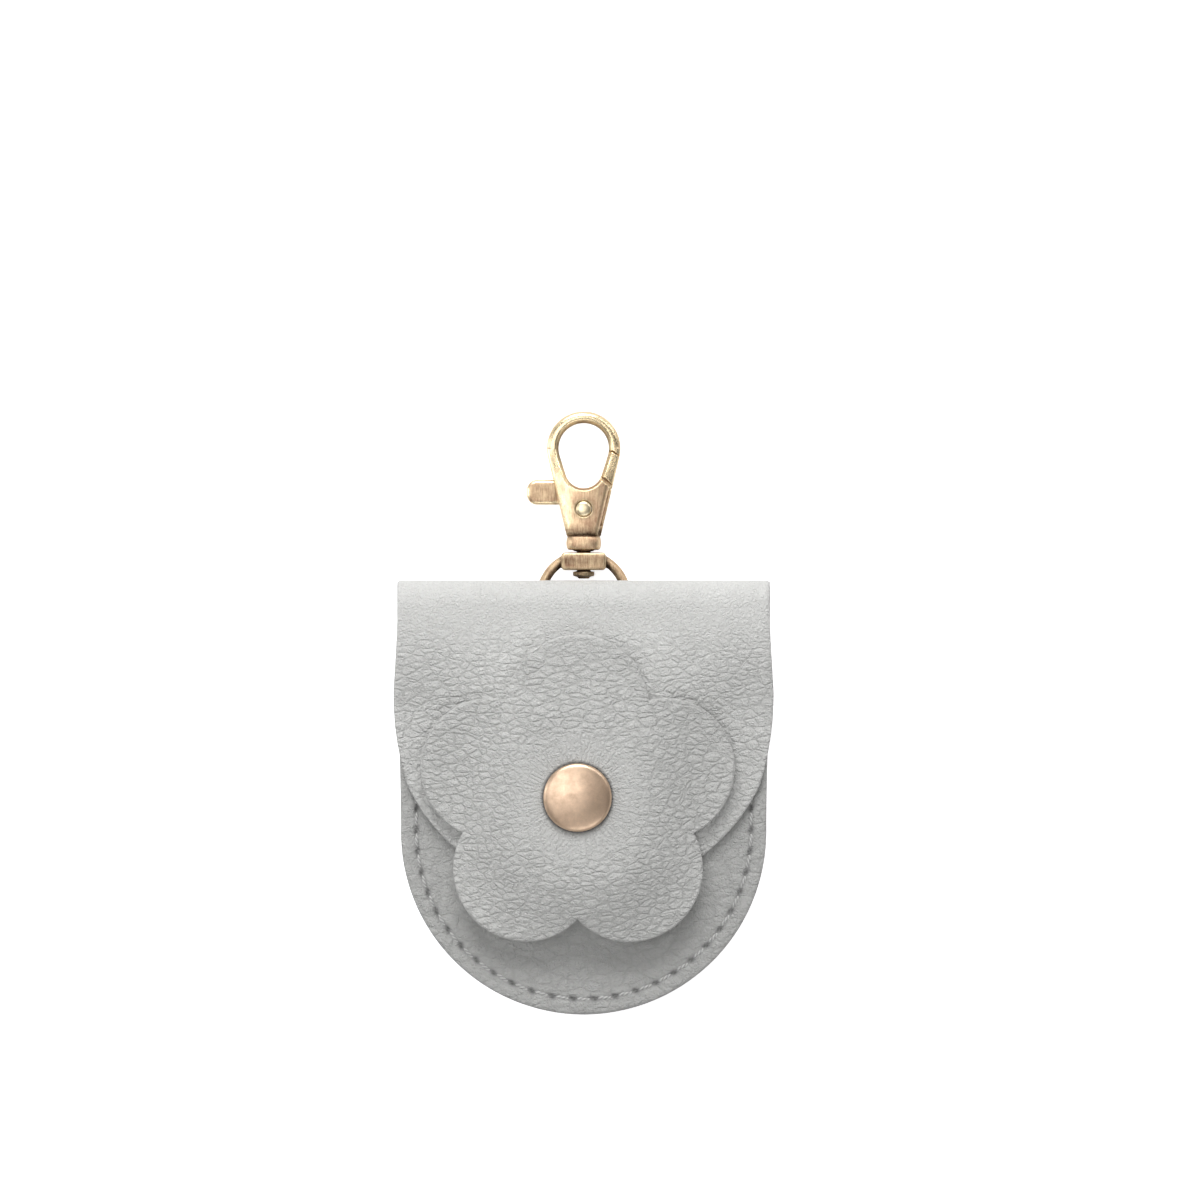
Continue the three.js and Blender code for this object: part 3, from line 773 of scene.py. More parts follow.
def stitch_row(name, points, lifts, count, length, radius, arch, sink, slant, seed):
    """Stitches centred on evenly spaced points of a line, from its first point to its last."""
    mesh = bpy.data.meshes.new(name)
    mesh.from_pydata(points, [(i, i + 1) for i in range(len(points) - 1)], [])
    attribute = mesh.attributes.new("lift", "FLOAT_VECTOR", "POINT")
    attribute.data.foreach_set("vector", [part for lift_way in lifts for part in lift_way])
    line = new_object(name + "_line", mesh)
    modifier = line.modifiers.new("stitches", "NODES")
    modifier.node_group = stitch_group
    values = {
        "Count": count,
        "Length": length * 0.001,
        "Thread Radius": radius * 0.001,
        "Arch": arch * 0.001,
        "Sink": sink * 0.001,
        "Slant": slant,
        "Seed": seed,
        "Material": thread_material,
    }
    for label, value in values.items():
        modifier[stitch_ports[label]] = value
    made = evaluated(line)
    bpy.data.objects.remove(line)
    made.name = name
    return made


def joined(name, meshes):
    """One piece from several meshes that share their material."""
    work = bmesh.new()
    for mesh in meshes:
        work.from_mesh(mesh)
    whole = meshes[0].copy()
    work.to_mesh(whole)
    work.free()
    whole.name = name
    return new_object(name, whole)


def seam_line(top_face, outward):
    """Points along the seam from left to right with the way that the stitches face."""
    radius = bottom_radius - seam_inset
    quarter = math.pi / 2 * radius
    half_count = int((quarter - bottom_centre - front_drop - 2.0) / stitch_pitch)
    reach = half_count * stitch_pitch
    points = []
    lifts = []
    for run in steps(321, -reach, reach):
        length = abs(run)
        way = -1 if run < 0 else 1
        if length < quarter:
            turn = length / radius
            x = way * radius * math.sin(turn)
            y = bottom_centre - radius * math.cos(turn)
        else:
            y = bottom_centre + length - quarter
            x = way * (half_width(y) - seam_inset)
        slope_x = top_face(x + 0.6, y) - top_face(x - 0.6, y)
        slope_y = top_face(x, y + 0.6) - top_face(x, y - 0.6)
        normal = Vector((-slope_x / 1.2, -slope_y / 1.2, 1.0)).normalized()
        point = Vector((x, y, top_face(x, y)))
        points.append(metres(point))
        lifts.append(normal * outward)
    return points, lifts, 2 * half_count + 1


def front_face(x, y):
    return front_under(x, y) + leather_mm - 0.3


def back_face(x, y):
    return back_under(x, y) + 0.1


front_line, front_lifts, front_count = seam_line(front_face, 1)
back_line, back_lifts, back_count = seam_line(back_face, -1)
seam_thread = joined(
    "seam_thread",
    [
        stitch_row("front_stitches", front_line, front_lifts, front_count, 3.5, 0.42, 0.75, 0.4, -0.1, 3),
        stitch_row("back_stitches", back_line, back_lifts, back_count, 4.1, 0.38, 0.35, 0.4, 0.05, 8),
    ],
)
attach(seam_thread, "pouch")

# Flower
# Five round petals cut from one piece of the same leather, 1.8 mm thick. The snap holds it at its
# middle, so the leather is pulled in there and its petals stand off the flap.
petal_leather_mm = 1.8
petal_count = 5
petal_radius = 15.5
petal_centres = 20.2
petal_ease_mm = 0.5
flower_hole = 1.75


def flower_under(x, y):
    reach = snap_distance(x, y) / (petal_centres + petal_radius)
    return flap_under(x, y) + leather_mm + petal_ease_mm + 1.4 * reach * reach


def petal_off(x, y):
    """Angle from the middle line of the nearest petal."""
    turn = math.atan2(y + snap_drop, x - snap_side) - math.pi / 2
    spread = 2 * math.pi / petal_count
    return (turn + spread / 2) % spread - spread / 2


def place_petal(x, y):
    reach = smooth(snap_distance(x, y), 9.0, 34.0)
    off = petal_off(x, y)
    fold = 0.25 * reach * math.cos(off * petal_count)
    return Vector((x, y, flower_under(x, y) + fold + 0.1 * reach * wave(x, y, 8.0, 4.2)))


def petal_edge(x, y):
    off = petal_off(x, y)
    radius = snap_distance(x, y)
    if radius < petal_centres * math.cos(off) * 0.8:
        return petal_radius
    return petal_radius - math.hypot(radius * math.cos(off) - petal_centres, radius * math.sin(off))


flower_rays = []
per_petal = 78
for ray_index in range(petal_count * per_petal):
    spread = 2 * math.pi / petal_count
    part = ray_index % per_petal / per_petal * 2 - 1
    ray_off = spread / 2 * mix(part, math.sin(part * math.pi / 2), 0.35)
    ray_turn = math.pi / 2 + spread * (ray_index // per_petal) + ray_off
    rim = petal_centres * math.cos(ray_off)
    rim += math.sqrt(petal_radius**2 - (petal_centres * math.sin(ray_off)) ** 2)
    ray_radii = [mix(rim, flower_hole, share) for share in inward(52)]
    flower_rays.append(
        [
            (snap_side + r * math.cos(ray_turn), r * math.sin(ray_turn) - snap_drop)
            for r in ray_radii
        ]
    )
# The petals are the same leather as the flap in a darker tone: painted shade.
petal_shaded_tone = (0.535, 0.535, 0.522)
petal_shaded_leather = grained_leather(
    "grey_petal_leather_shaded", petal_shaded_tone, (3.0, 1.6), 0.95, 0.85, 0.3, pulled=True
)
flower = leather_piece(
    "leather_flower", flower_rays, place_petal, petal_leather_mm, 1, 0.45, petal_edge, hole=True
)
dress_leather(flower, petal_shaded_leather, outer_is_near=False)
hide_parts("flower")
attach(flower, "pouch")

# Snap
# A press fastener in bronze-finished brass: a shallow cap with a rolled edge whose post goes through
# flower and flap, a socket under the flap, and a stud riveted in the front. The cap's top is bare.


def loft(name, rings, loop=False):
    """A closed solid from rings of points in millimetres, each with the same number of points."""
    work = bmesh.new()
    made = [[work.verts.new(metres(Vector(point))) for point in ring] for ring in rings]
    count = len(rings[0])
    spans = len(rings) if loop else len(rings) - 1
    for i in range(spans):
        first = made[i]
        second = made[(i + 1) % len(rings)]
        for k in range(count):
            work.faces.new((first[k], first[(k + 1) % count], second[(k + 1) % count], second[k]))
    if not loop:
        work.faces.new(made[0][::-1])
        work.faces.new(made[-1])
    bmesh.ops.recalc_face_normals(work, faces=work.faces)
    mesh = bpy.data.meshes.new(name)
    work.to_mesh(mesh)
    work.free()
    mesh.polygons.foreach_set("use_smooth", [True] * len(mesh.polygons))
    return new_object(name, mesh)


def circle(radius, place, count=96):
    """A ring of points. place turns two flat numbers into a point."""
    turns = [2 * math.pi * k / count for k in range(count)]
    return [place(radius * math.cos(turn), radius * math.sin(turn)) for turn in turns]


def softened(corners, size, cuts=4):
    """Pairs of radius and height with each inner corner rounded over."""
    points = [corners[0]]
    for before, corner, after in zip(corners, corners[1:], corners[2:]):
        before, corner, after = Vector(before), Vector(corner), Vector(after)
        room = min(size, (before - corner).length * 0.45, (after - corner).length * 0.45)
        start = corner + (before - corner).normalized() * room
        end = corner + (after - corner).normalized() * room
        for share in steps(cuts, 0.0, 1.0):
            points.append(tuple(start.lerp(corner, share).lerp(corner.lerp(end, share), share)))
    return points + [corners[-1]]


finish_group, finish_in, finish_out = shader_group(
    "worn_finish_and_painted_light",
    [
        ("Position", "NodeSocketVector", (0, 0, 0)),
        ("Wear And Painted Highlight", "NodeSocketFloat", 0.5),
        ("Patina And Painted Shade", "NodeSocketFloat", 0.0),
        ("Streaks", "NodeSocketFloat", 1.0),
        ("Blotches", "NodeSocketFloat", 1.0),
    ],
    [("Bright", "NodeSocketFloat"), ("Patina And Shade Dark", "NodeSocketFloat"), ("Height", "NodeSocketFloat")],
)
finish = Tree(finish_group)
finish_place = finish_in.outputs["Position"]
brushed_place = finish.vector("MULTIPLY", finish_place, (7.0, 0.5, 7.0))
brushed = finish.noise(brushed_place, 1.0, 4.0, 0.65).outputs["Fac"]
blotch = finish.noise(finish_place, 0.42, 3.0, 0.6).outputs["Fac"]
speck = finish.noise(finish_place, 4.5, 3.0, 0.6).outputs["Fac"]
streaked = finish.math("MULTIPLY", finish.math("SUBTRACT", brushed, 0.5), finish_in.outputs["Streaks"])
blotched = finish.math("MULTIPLY", finish.math("SUBTRACT", blotch, 0.5), finish_in.outputs["Blotches"])
specked = finish.math("MULTIPLY", finish.math("SUBTRACT", speck, 0.5), 0.5)
uneven = finish.math("ADD", finish.math("ADD", streaked, blotched), specked)
# The wear mark brightens real wear and painted highlights; the grime mark darkens with patina and painted
# shade.
worn_and_lit = finish.ranged(finish_in.outputs["Wear And Painted Highlight"], 0.5, 0.8, 0.0, 0.85, soft=True)
bright = finish.math("ADD", finish.math("ADD", worn_and_lit, 0.36), uneven, clamp=True)
patina_and_shade_spread = finish.math("MULTIPLY", finish_in.outputs["Patina And Painted Shade"], finish.ranged(blotch, 0.25, 0.6, 1.2, 0.75))
patina_and_shade_dark = finish.math("MULTIPLY", patina_and_shade_spread, finish.ranged(brushed, 0.3, 0.7, 1.15, 0.7), clamp=True)
finish_group.links.new(bright, finish_out.inputs["Bright"])
finish_group.links.new(patina_and_shade_dark, finish_out.inputs["Patina And Shade Dark"])
finish_group.links.new(finish.math("ADD", streaked, specked), finish_out.inputs["Height"])


def plated_metal(name, dull, bright_tone, dark, streaks, blotches, rough, bump=0.02, marked=True):
    """Antique plating: duller on the flats, rubbed bright on the edges, dark patina in the hollows, plus
    painted highlights and painted shade from the marks.
    """
    material, nodes, shader = new_material(name)
    in_mm = nodes.place_mm()
    group = nodes.add("ShaderNodeGroup", node_tree=finish_group)
    nodes.feed(group, {"Position": in_mm, "Streaks": streaks, "Blotches": blotches})
    if marked:
        nodes.feed(group, {"Wear And Painted Highlight": nodes.mark("wear_and_painted_highlight"), "Patina And Painted Shade": nodes.mark("patina_and_painted_shade")})
    plain = nodes.colours(group.outputs["Bright"], (*dull, 1.0), (*bright_tone, 1.0))
    colour = nodes.colours(group.outputs["Patina And Shade Dark"], plain, (*dark, 1.0))
    smoothness = nodes.ranged(group.outputs["Bright"], 0.0, 1.0, rough + 0.1, rough - 0.1)
    roughness = nodes.math("ADD", smoothness, nodes.math("MULTIPLY", group.outputs["Patina And Shade Dark"], 0.25))
    bumped = nodes.bumped(group.outputs["Height"], 1.0, bump)
    nodes.feed(shader, {"Base Color": colour, "Roughness": roughness, "Normal": bumped})
    shader.inputs["Metallic"].default_value = 1.0
    return material


bronze = plated_metal(
    "rose_bronze", (0.56, 0.4, 0.285), (0.92, 0.69, 0.5), (0.05, 0.035, 0.025), 0.2, 1.4, 0.34, marked=False
)
hidden_brass = plated_metal(
    "plain_brass", (0.48, 0.34, 0.19), (0.82, 0.65, 0.38), (0.06, 0.04, 0.02), 0.4, 0.9, 0.36, marked=False
)
cap_base = cap_high.z * 1000.0 - 2.0
peen_foot = cap_low.z * 1000.0
cap_profile = [
    (0.01, peen_foot),
    *softened([(0.5, peen_foot), (2.6, peen_foot), (2.6, peen_foot + 0.4), (1.6, peen_foot + 0.4)], 0.15),
    (1.6, cap_base + 0.4),
    (6.7, cap_base + 0.4),
    (6.78, cap_base + 0.16),
    (6.92, cap_base + 0.04),
    (7.08, cap_base),
    (7.26, cap_base + 0.07),
    (7.39, cap_base + 0.22),
    (7.47, cap_base + 0.42),
    (7.5, cap_base + 0.64),
    (7.46, cap_base + 0.84),
    (7.36, cap_base + 1.02),
    (7.2, cap_base + 1.16),
    (6.98, cap_base + 1.28),
    (6.7, cap_base + 1.37),
    (6.2, cap_base + 1.47),
    (5.4, cap_base + 1.6),
    (4.2, cap_base + 1.76),
    (3.0, cap_base + 1.88),
    (1.8, cap_base + 1.96),
    (0.8, cap_base + 1.99),
    (0.01, cap_base + 2.0),
]


def on_snap(z):
    return lambda a, b: (snap_side + a, b - snap_drop, z)


snap_cap = loft("snap_cap_bare", [circle(radius, on_snap(z)) for radius, z in cap_profile])
snap_cap.data.materials.append(bronze)
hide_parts("snap_cap")
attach(snap_cap, "pouch")
for node_name in ("snap_socket", "snap_stud"):
    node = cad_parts[node_name]
    node.data.materials.clear()
    node.data.materials.append(hidden_brass)

# Hang keeper
# A strap of the same leather on the back. It lies under the foot of the clasp's ring and is sewn to the
# back with two short rows at each end.
keeper_half = 5.0
keeper_top = -1.6
keeper_low = -28.1
keeper_corner = 1.4
keeper_pad = 4.2
ring_foot = -13.4
ring_room = 2.3


def keeper_under(x, y):
    pad = max(0.0, back_under(0.0, y) - contact_mm - leather_mm)
    sewn_low = 1.0 - smooth(y, keeper_low + keeper_pad, ring_foot - ring_room)
    sewn_high = smooth(y, ring_foot + ring_room, keeper_top - keeper_pad)
    return pad * max(sewn_low, sewn_high)


def place_keeper(x, y):
    return Vector((x, y, keeper_under(x, y)))


def keeper_edge(x, y):
    out_x = abs(x) - keeper_half + keeper_corner
    out_y = abs(y - (keeper_top + keeper_low) / 2) - (keeper_top - keeper_low) / 2 + keeper_corner
    outside = math.hypot(max(out_x, 0.0), max(out_y, 0.0))
    return keeper_corner - outside - min(max(out_x, out_y), 0.0)


keeper_right = []
for y in (keeper_low, keeper_top):
    way = 1 if y == keeper_top else -1
    centre = y - way * keeper_corner
    flat = [(x, y) for x in steps(8, 0.0, keeper_half - keeper_corner)[:-1]]
    bend = []
    for turn in steps(8, math.pi / 2, 0.0):
        x = keeper_half - keeper_corner + keeper_corner * math.cos(turn)
        bend.append((x, centre + way * keeper_corner * math.sin(turn)))
    keeper_right.append(flat + bend)
keeper_side = [(keeper_half, y) for y in steps(50, keeper_low + keeper_corner, keeper_top - keeper_corner)]
keeper_half_rim = keeper_right[0] + keeper_side[1:-1] + keeper_right[1][::-1]
keeper_rim = keeper_half_rim[:-1] + [(-x, y) for x, y in keeper_half_rim[:0:-1]]
keeper_rays = []
for x, y in keeper_rim:
    spine = min(max(y, keeper_low + keeper_half), keeper_top - keeper_half)
    keeper_rays.append([(mix(x, 0.0, share), mix(y, spine, share)) for share in inward(12, 0.7)])
keeper = leather_piece(
    "leather_keeper", keeper_rays, place_keeper, leather_mm, 1, 0.35, keeper_edge
)
# The keeper takes the front's darker tone of the leather: painted shade.
dress_leather(keeper, front_shaded_leather, outer_is_near=True)
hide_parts("hang_keeper")
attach(keeper, "pouch")

keeper_rows = []
for row_index, row_y in enumerate((keeper_low + 1.4, keeper_low + 3.4, keeper_top - 3.4, keeper_top - 1.4)):
    row_points = [Vector((x, row_y, keeper_under(x, row_y) + 0.12)) for x in steps(9, -3.0, 3.0)]
    row_lifts = [Vector((0, 0, -1))] * len(row_points)
    row_line = [metres(point) for point in row_points]
    keeper_rows.append(
        stitch_row(f"keeper_row_{row_index}", row_line, row_lifts, 3, 2.7, 0.3, 0.3, 0.25, 0.05, row_index)
    )
keeper_thread = joined("keeper_thread", keeper_rows)
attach(keeper_thread, "pouch")

# Ring and swivel bar
# A cast brass bar with a hole for the hook's post, and a ring of 2.2 mm wire set in its ends. The ring is
# round at the top and straight at its foot, where it turns in the keeper.
clasp_height = 3.0
clasp_half_depth = 2.95
wire_radius = 1.1
ring_radius = 9.5
ring_centre = -3.9
ring_corner = 4.0
bar_length = 9.9
bar_low = 2.3
bar_high = 6.2


def arc(centre_x, centre_y, radius, count, first, last):
    """Flat points on an arc from the first angle to the last."""
    turns = steps(count, first, last)
    return [(centre_x + radius * math.cos(turn), centre_y + radius * math.sin(turn)) for turn in turns]


def corner_box(half_x, low_y, high_y, corner, count=8):
    """A box outline with round corners."""
    points = []
    for quarter in range(4):
        way_x = 1 if quarter in (0, 3) else -1
        centre_x = way_x * (half_x - corner)
        centre_y = high_y - corner if quarter < 2 else low_y + corner
        first = quarter * math.pi / 2
        points += arc(centre_x, centre_y, corner, count, first, first + math.pi / 2)
    return points


def shrunk(outline, amount):
    """The outline moved inwards. Its points run anticlockwise."""
    moved = []
    for k, (x, y) in enumerate(outline):
        x0, y0 = outline[k - 1]
        x1, y1 = outline[(k + 1) % len(outline)]
        way = Vector((x1 - x0, y1 - y0)).normalized()
        moved.append((x - way.y * amount, y + way.x * amount))
    return moved


def pressed_plate(name, outline, low, high, round_low, round_high):
    """A plate of the given outline whose lower and upper edges are rounded over."""
    rings = []
    for turn in steps(6, 0.0, math.pi / 2) if round_low else [math.pi / 2]:
        ring = shrunk(outline, round_low * (1.0 - math.sin(turn)))
        rings.append([(x, y, low + round_low * (1.0 - math.cos(turn))) for x, y in ring])
    for turn in steps(6, math.pi / 2, 0.0) if round_high else [math.pi / 2]:
        ring = shrunk(outline, round_high * (1.0 - math.sin(turn)))
        rings.append([(x, y, high - round_high * (1.0 - math.cos(turn))) for x, y in ring])
    return loft(name, rings)


def fitted(piece, tool, operation="DIFFERENCE"):
    """Cuts a tool's shape out of a piece, or keeps only what both share."""
    modifier = piece.modifiers.new("fit", "BOOLEAN")
    modifier.operation = operation
    modifier.solver = "EXACT"
    modifier.object = tool
    bpy.context.view_layer.update()
    made = evaluated(piece)
    piece.modifiers.clear()
    piece.data = made
    bpy.data.objects.remove(tool)
    return piece


def cast(name, shells, fineness, rounds, material, shade_and_highlight_by_place, shape=None):
    """One casting from closed shells: they are fused, their edges softened, and their wear and patina
    marked.
    soil adds darkening and brightening by position, mostly painted shade, painted reflections and
    highlights."""
    work = bmesh.new()
    for shell in shells:
        work.from_mesh(shell.data)
        bpy.data.objects.remove(shell)
    mesh = bpy.data.meshes.new(name)
    work.to_mesh(mesh)
    work.free()
    piece = new_object(name, mesh)
    fuse = piece.modifiers.new("fuse", "REMESH")
    fuse.mode = "VOXEL"
    fuse.voxel_size = fineness * 0.001
    soften = piece.modifiers.new("soften", "SMOOTH")
    soften.factor = 0.5
    soften.iterations = rounds
    made = evaluated(piece)
    piece.modifiers.clear()
    piece.data = made
    made.name = name
    count = len(made.vertices)
    points = np.empty(count * 3)
    made.vertices.foreach_get("co", points)
    points = points.reshape(-1, 3)
    if shape:
        points = shape(points)
        made.vertices.foreach_set("co", points.ravel())
        made.update()
    normals = np.empty(count * 3)
    made.vertices.foreach_get("normal", normals)
    ends = np.empty(len(made.edges) * 2, np.int64)
    made.edges.foreach_get("vertices", ends)
    first, second = ends.reshape(-1, 2).T
    degree = np.bincount(first, minlength=count) + np.bincount(second, minlength=count)

    def average(values):
        sums = np.bincount(first, values[second], count) + np.bincount(second, values[first], count)
        return sums / np.maximum(degree, 1)

    near = np.stack([average(points[:, k]) for k in range(3)], axis=1)
    bend = np.sum((points - near) * normals.reshape(-1, 3), axis=1) / (fineness * 0.001)
    for _ in range(8):
        bend = 0.4 * bend + 0.6 * average(bend)
    hollow = np.maximum(-bend, 0.0)
    for _ in range(30):
        hollow = 0.3 * hollow + 0.7 * average(hollow)
    more_patina_and_shade, more_wear_and_highlight = shade_and_highlight_by_place(points[:, 0] * 1000.0, (points[:, 1] - fold_edge) * 1000.0)
    # dark is patina in the hollows plus painted shade by position; the wear mark adds painted highlights by
    # position.
    dark = 14.0 * hollow + more_patina_and_shade
    rubbed_and_lit = 0.5 + 3.0 * bend + more_wear_and_highlight
    wear_and_painted_highlight = made.attributes.new("wear_and_painted_highlight", "FLOAT", "POINT")
    wear_and_painted_highlight.data.foreach_set("value", np.clip(rubbed_and_lit, 0.0, 1.0).astype(np.float32))
    patina_and_painted_shade = made.attributes.new("patina_and_painted_shade", "FLOAT", "POINT")
    patina_and_painted_shade.data.foreach_set("value", np.clip(dark, 0.0, 1.0).astype(np.float32))
    made.polygons.foreach_set("use_smooth", [True] * len(made.polygons))
    made.materials.clear()
    made.materials.append(material)
    return piece


brass = plated_metal(
    "antique_brass", (0.52, 0.31, 0.2), (1.0, 0.81, 0.51), (0.06, 0.036, 0.02), 1.9, 1.2, 0.36
)


def along_clasp(y):
    return lambda a, b: (a, y, clasp_height + b)


def wire_section(x, y, way_x, way_y, count=24):
    """A ring of points round the wire at one place. The way points out of the wire's curve."""
    ring = []
    for k in range(count):
        turn = 2 * math.pi * k / count
        out = wire_radius * math.cos(turn)
        ring.append((x + way_x * out, y + way_y * out, clasp_height + wire_radius * math.sin(turn)))
    return ring


enter = math.radians(62)
ring_low = ring_foot + ring_corner
ring_side = ring_radius - ring_corner

def wire_bend(centre_x, centre_y, radius, count, first, last):
    """Sections of the wire round a bend."""
    sections = []
    for turn in steps(count, first, last):
        way = (math.cos(turn), math.sin(turn))
        sections.append(wire_section(centre_x + radius * way[0], centre_y + radius * way[1], *way))
    return sections


wire_rings = wire_bend(0.0, ring_centre, ring_radius, 44, enter, 0.0)
wire_rings += [wire_section(ring_radius, y, 1.0, 0.0) for y in steps(8, ring_centre, ring_low)[1:-1]]
wire_rings += wire_bend(ring_side, ring_low, ring_corner, 18, 0.0, -math.pi / 2)
wire_rings += [wire_section(x, ring_foot, 0.0, -1.0) for x in steps(14, ring_side, -ring_side)[1:-1]]
wire_rings += wire_bend(-ring_side, ring_low, ring_corner, 18, -math.pi / 2, -math.pi)
wire_rings += [wire_section(-ring_radius, y, -1.0, 0.0) for y in steps(8, ring_low, ring_centre)[1:-1]]
wire_rings += wire_bend(0.0, ring_centre, ring_radius, 44, math.pi, math.pi - enter)
wire = loft("wire", wire_rings)
bar = pressed_plate(
    "bar",
    corner_box(bar_length / 2, bar_low, bar_high, 0.8),
    clasp_height - clasp_half_depth,
    clasp_height + clasp_half_depth,
    0.5,
    0.5,
)
bar_bore = loft("bore", [circle(1.8, along_clasp(y), 40) for y in (bar_low - 1.0, bar_high + 1.0)])
bar = fitted(bar, bar_bore)


def loop_shade_by_place(x, y):
    """Painted dark reflection on the inner side of the wire, painted shade where it enters the bar, a
    little darker on the bar's faces.
    """
    inner = ring_radius - np.hypot(x, y - ring_centre)
    on_bar = (np.abs(x) < bar_length / 2) & (y > bar_low - 0.1)
    inner_dark = 0.75 * np.clip((inner + 0.3) / 1.1, 0.0, 1.0)
    wire_dark = 0.12 + inner_dark + 0.4 * np.clip(6.2 - np.abs(x), 0.0, 1.0)
    bar_dark = 0.55 * np.clip(1.25 - np.abs(y - (bar_low + bar_high) / 2) / 1.7, 0.0, 1.0)
    return np.where(on_bar, bar_dark, wire_dark), 0.0


swivel_loop = cast("brass_ring_and_bar", [wire, bar], 0.14, 5, brass, loop_shade_by_place)
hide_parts("swivel_loop")
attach(swivel_loop, "loop")

# Hook
# One brass casting: post, barrel-shaped collar, tapered fork with a slot for the lever, and the round
# eye above it. The right edge of its front half is set back, and a cut leaves room for the gate.
body_foot = 9.9
body_half_foot = 3.8
hook_radius = 8.2
hook_centre = 29.4
eye_radius = 5.6
eye_foot_radius = 4.15
eye_foot_centre = 24.65
fork_top = 24.45
pin_y = 15.9
slot_low = 12.1
slot_high = 22.65
lever_thickness = 2.0
gate_inner = 8.3
gate_outer = 13.2
gate_gap = 0.4
clasp_low = clasp_height - clasp_half_depth
clasp_high = clasp_height + clasp_half_depth
body_rise = hook_centre - body_foot
touch = math.pi / 2 - math.atan2(body_rise, body_half_foot)
touch -= math.asin(hook_radius / math.hypot(body_rise, body_half_foot))
eye_tilt = math.asin((eye_radius - eye_foot_radius) / (hook_centre - eye_foot_centre))
side_top = hook_centre + hook_radius * math.sin(touch)


def body_half(y):
    return body_half_foot - (y - body_foot) * math.tan(touch)


def hook_outline(set_back):
    """The hook's outline: straight sides that taper to the foot, and the round top."""
    outline = [(body_half(y) - set_back, y) for y in steps(24, body_foot, fork_top)]
    outline += [(body_half(y), y) for y in steps(5, fork_top + 0.8, side_top)]
    outline += arc(0.0, hook_centre, hook_radius, 80, touch, math.pi - touch)[1:-1]
    return outline + [(-body_half(y), y) for y in steps(28, side_top, body_foot)]


def eye_tool():
    """The eye, flared at both faces so that its edge is chamfered."""
    left = math.pi + eye_tilt
    outline = arc(0.0, hook_centre, eye_radius, 60, -eye_tilt, left)
    outline += arc(0.0, eye_foot_centre, eye_foot_radius, 40, left, 2 * math.pi - eye_tilt)[1:-1]
    rings = []
    for z, flare in ((-1.5, 1.5), (clasp_low + 0.5, 0.0), (clasp_high - 0.9, 0.0), (clasp_high + 1.5, 1.7)):
        rings.append([(x, y, z) for x, y in shrunk(outline, -flare)])
    return loft("eye_tool", rings)


def gate_tool(inner, outer):
    """A wedge round the pin, on the side of the gate. Its outer face leans, so that the gap is closed to
    the eye from above."""
    high = math.radians(75)
    rings = []
    for z in (-3.0, 9.0):
        rim = outer + 0.3 * (z - clasp_height)
        wedge = arc(0.0, pin_y, rim, 30, 0.0, high) + arc(0.0, pin_y, inner, 30, high, 0.0)
        rings.append([(x, y, z) for x, y in wedge])
    return loft("gate_tool", rings)


def upright(name, outline, low, high):
    """A plain solid of the given outline between two heights."""
    return loft(name, [[(x, y, z) for x, y in outline] for z in (low, high)])


def slot_tool():
    half = lever_thickness / 2 + contact_mm
    outline = [(-20, slot_low), (20, slot_low), (20, slot_high), (-20, slot_high)]
    return upright("slot_tool", outline, clasp_height - half, clasp_height + half)


def on_pin(z):
    return lambda a, b: (a, pin_y + b, z)


def pin_tool(radius, flare):
    """The pin's hole, a little wider at both faces."""
    straight = [(0.2, radius), (clasp_high - 0.3, radius)]
    profile = [(-3.0, radius + flare), *straight, (9.0, radius + 9.0 * flare)]
    return loft("pin_tool", [circle(r, on_pin(z), 48) for z, r in profile])


def fork_half(name, low, high, round_low, round_high, set_back):
    """Half of the fork's depth. set_back narrows its right side."""
    piece = pressed_plate(name, hook_outline(set_back), low, high, round_low, round_high)
    fitted(piece, eye_tool())
    fitted(piece, slot_tool())
    fitted(piece, gate_tool(gate_inner - 2 * gate_gap, gate_outer + gate_gap))
    fitted(piece, pin_tool(1.8, 0.1))
    return piece


def taper_eye(points):
    """The eye is shallower than the fork: the casting thins smoothly towards it."""
    y = (points[:, 1] - fold_edge) * 1000.0
    share = np.clip((y - slot_high) / 7.5, 0.0, 1.0)
    thin = 1.0 - (1.0 - 1.8 / clasp_half_depth) * share * share * (3.0 - 2.0 * share)
    crown = 1.0 - 0.13 * np.minimum((points[:, 0] / 0.005) ** 2, 2.0) * (y > body_foot)
    x = np.abs(points[:, 0]) * 1000.0
    side = body_half_foot - (y - body_foot) * math.tan(touch) - x
    top = hook_radius - np.hypot(x, y - hook_centre)
    from_rim = np.where(y > hook_centre, top, side) - (hook_radius - eye_radius) / 2
    across = np.clip(from_rim / 1.3, -1.0, 1.0)
    thin = thin * crown * (1.0 - 0.3 * share * across * across)
    middle = clasp_height * 0.001
    points[:, 2] = middle + (points[:, 2] - middle) * thin
    return points


fork_back = fork_half("fork_back", clasp_low, clasp_height + 0.05, 0.7, 0.0, 0.0)
fork_front = fork_half("fork_front", clasp_height - 0.05, clasp_high, 0.0, 0.8, 0.7)


def oblong(y, share, count=64, power=0.62):
    """A section of the collar: an oblong with round corners."""
    ring = []
    for k in range(count):
        turn = 2 * math.pi * k / count
        across = math.copysign(abs(math.cos(turn)) ** power, math.cos(turn))
        up = math.copysign(abs(math.sin(turn)) ** power, math.sin(turn))
        ring.append((3.9 * share * across, y, clasp_height + clasp_half_depth * share * up))
    return ring


collar_profile = [
    (6.8, 0.84),
    (6.9, 0.9),
    (7.2, 0.955),
    (7.7, 0.985),
    (8.35, 1.0),
    (9.0, 0.985),
    (9.5, 0.955),
    (9.8, 0.9),
    (9.95, 0.82),
]
collar = loft("collar", [oblong(y, share) for y, share in collar_profile])
post_profile = softened(
    [
        *((0.02, 0.4), (1.3, 0.4), (1.3, 0.75), (2.4, 1.0), (2.4, 2.0)),
        *((1.5, 2.0), (1.5, 6.5), (2.3, 6.5), (2.3, 7.4)),
    ],
    0.25,
)
post = loft("post", [circle(radius, along_clasp(y), 48) for radius, y in post_profile])


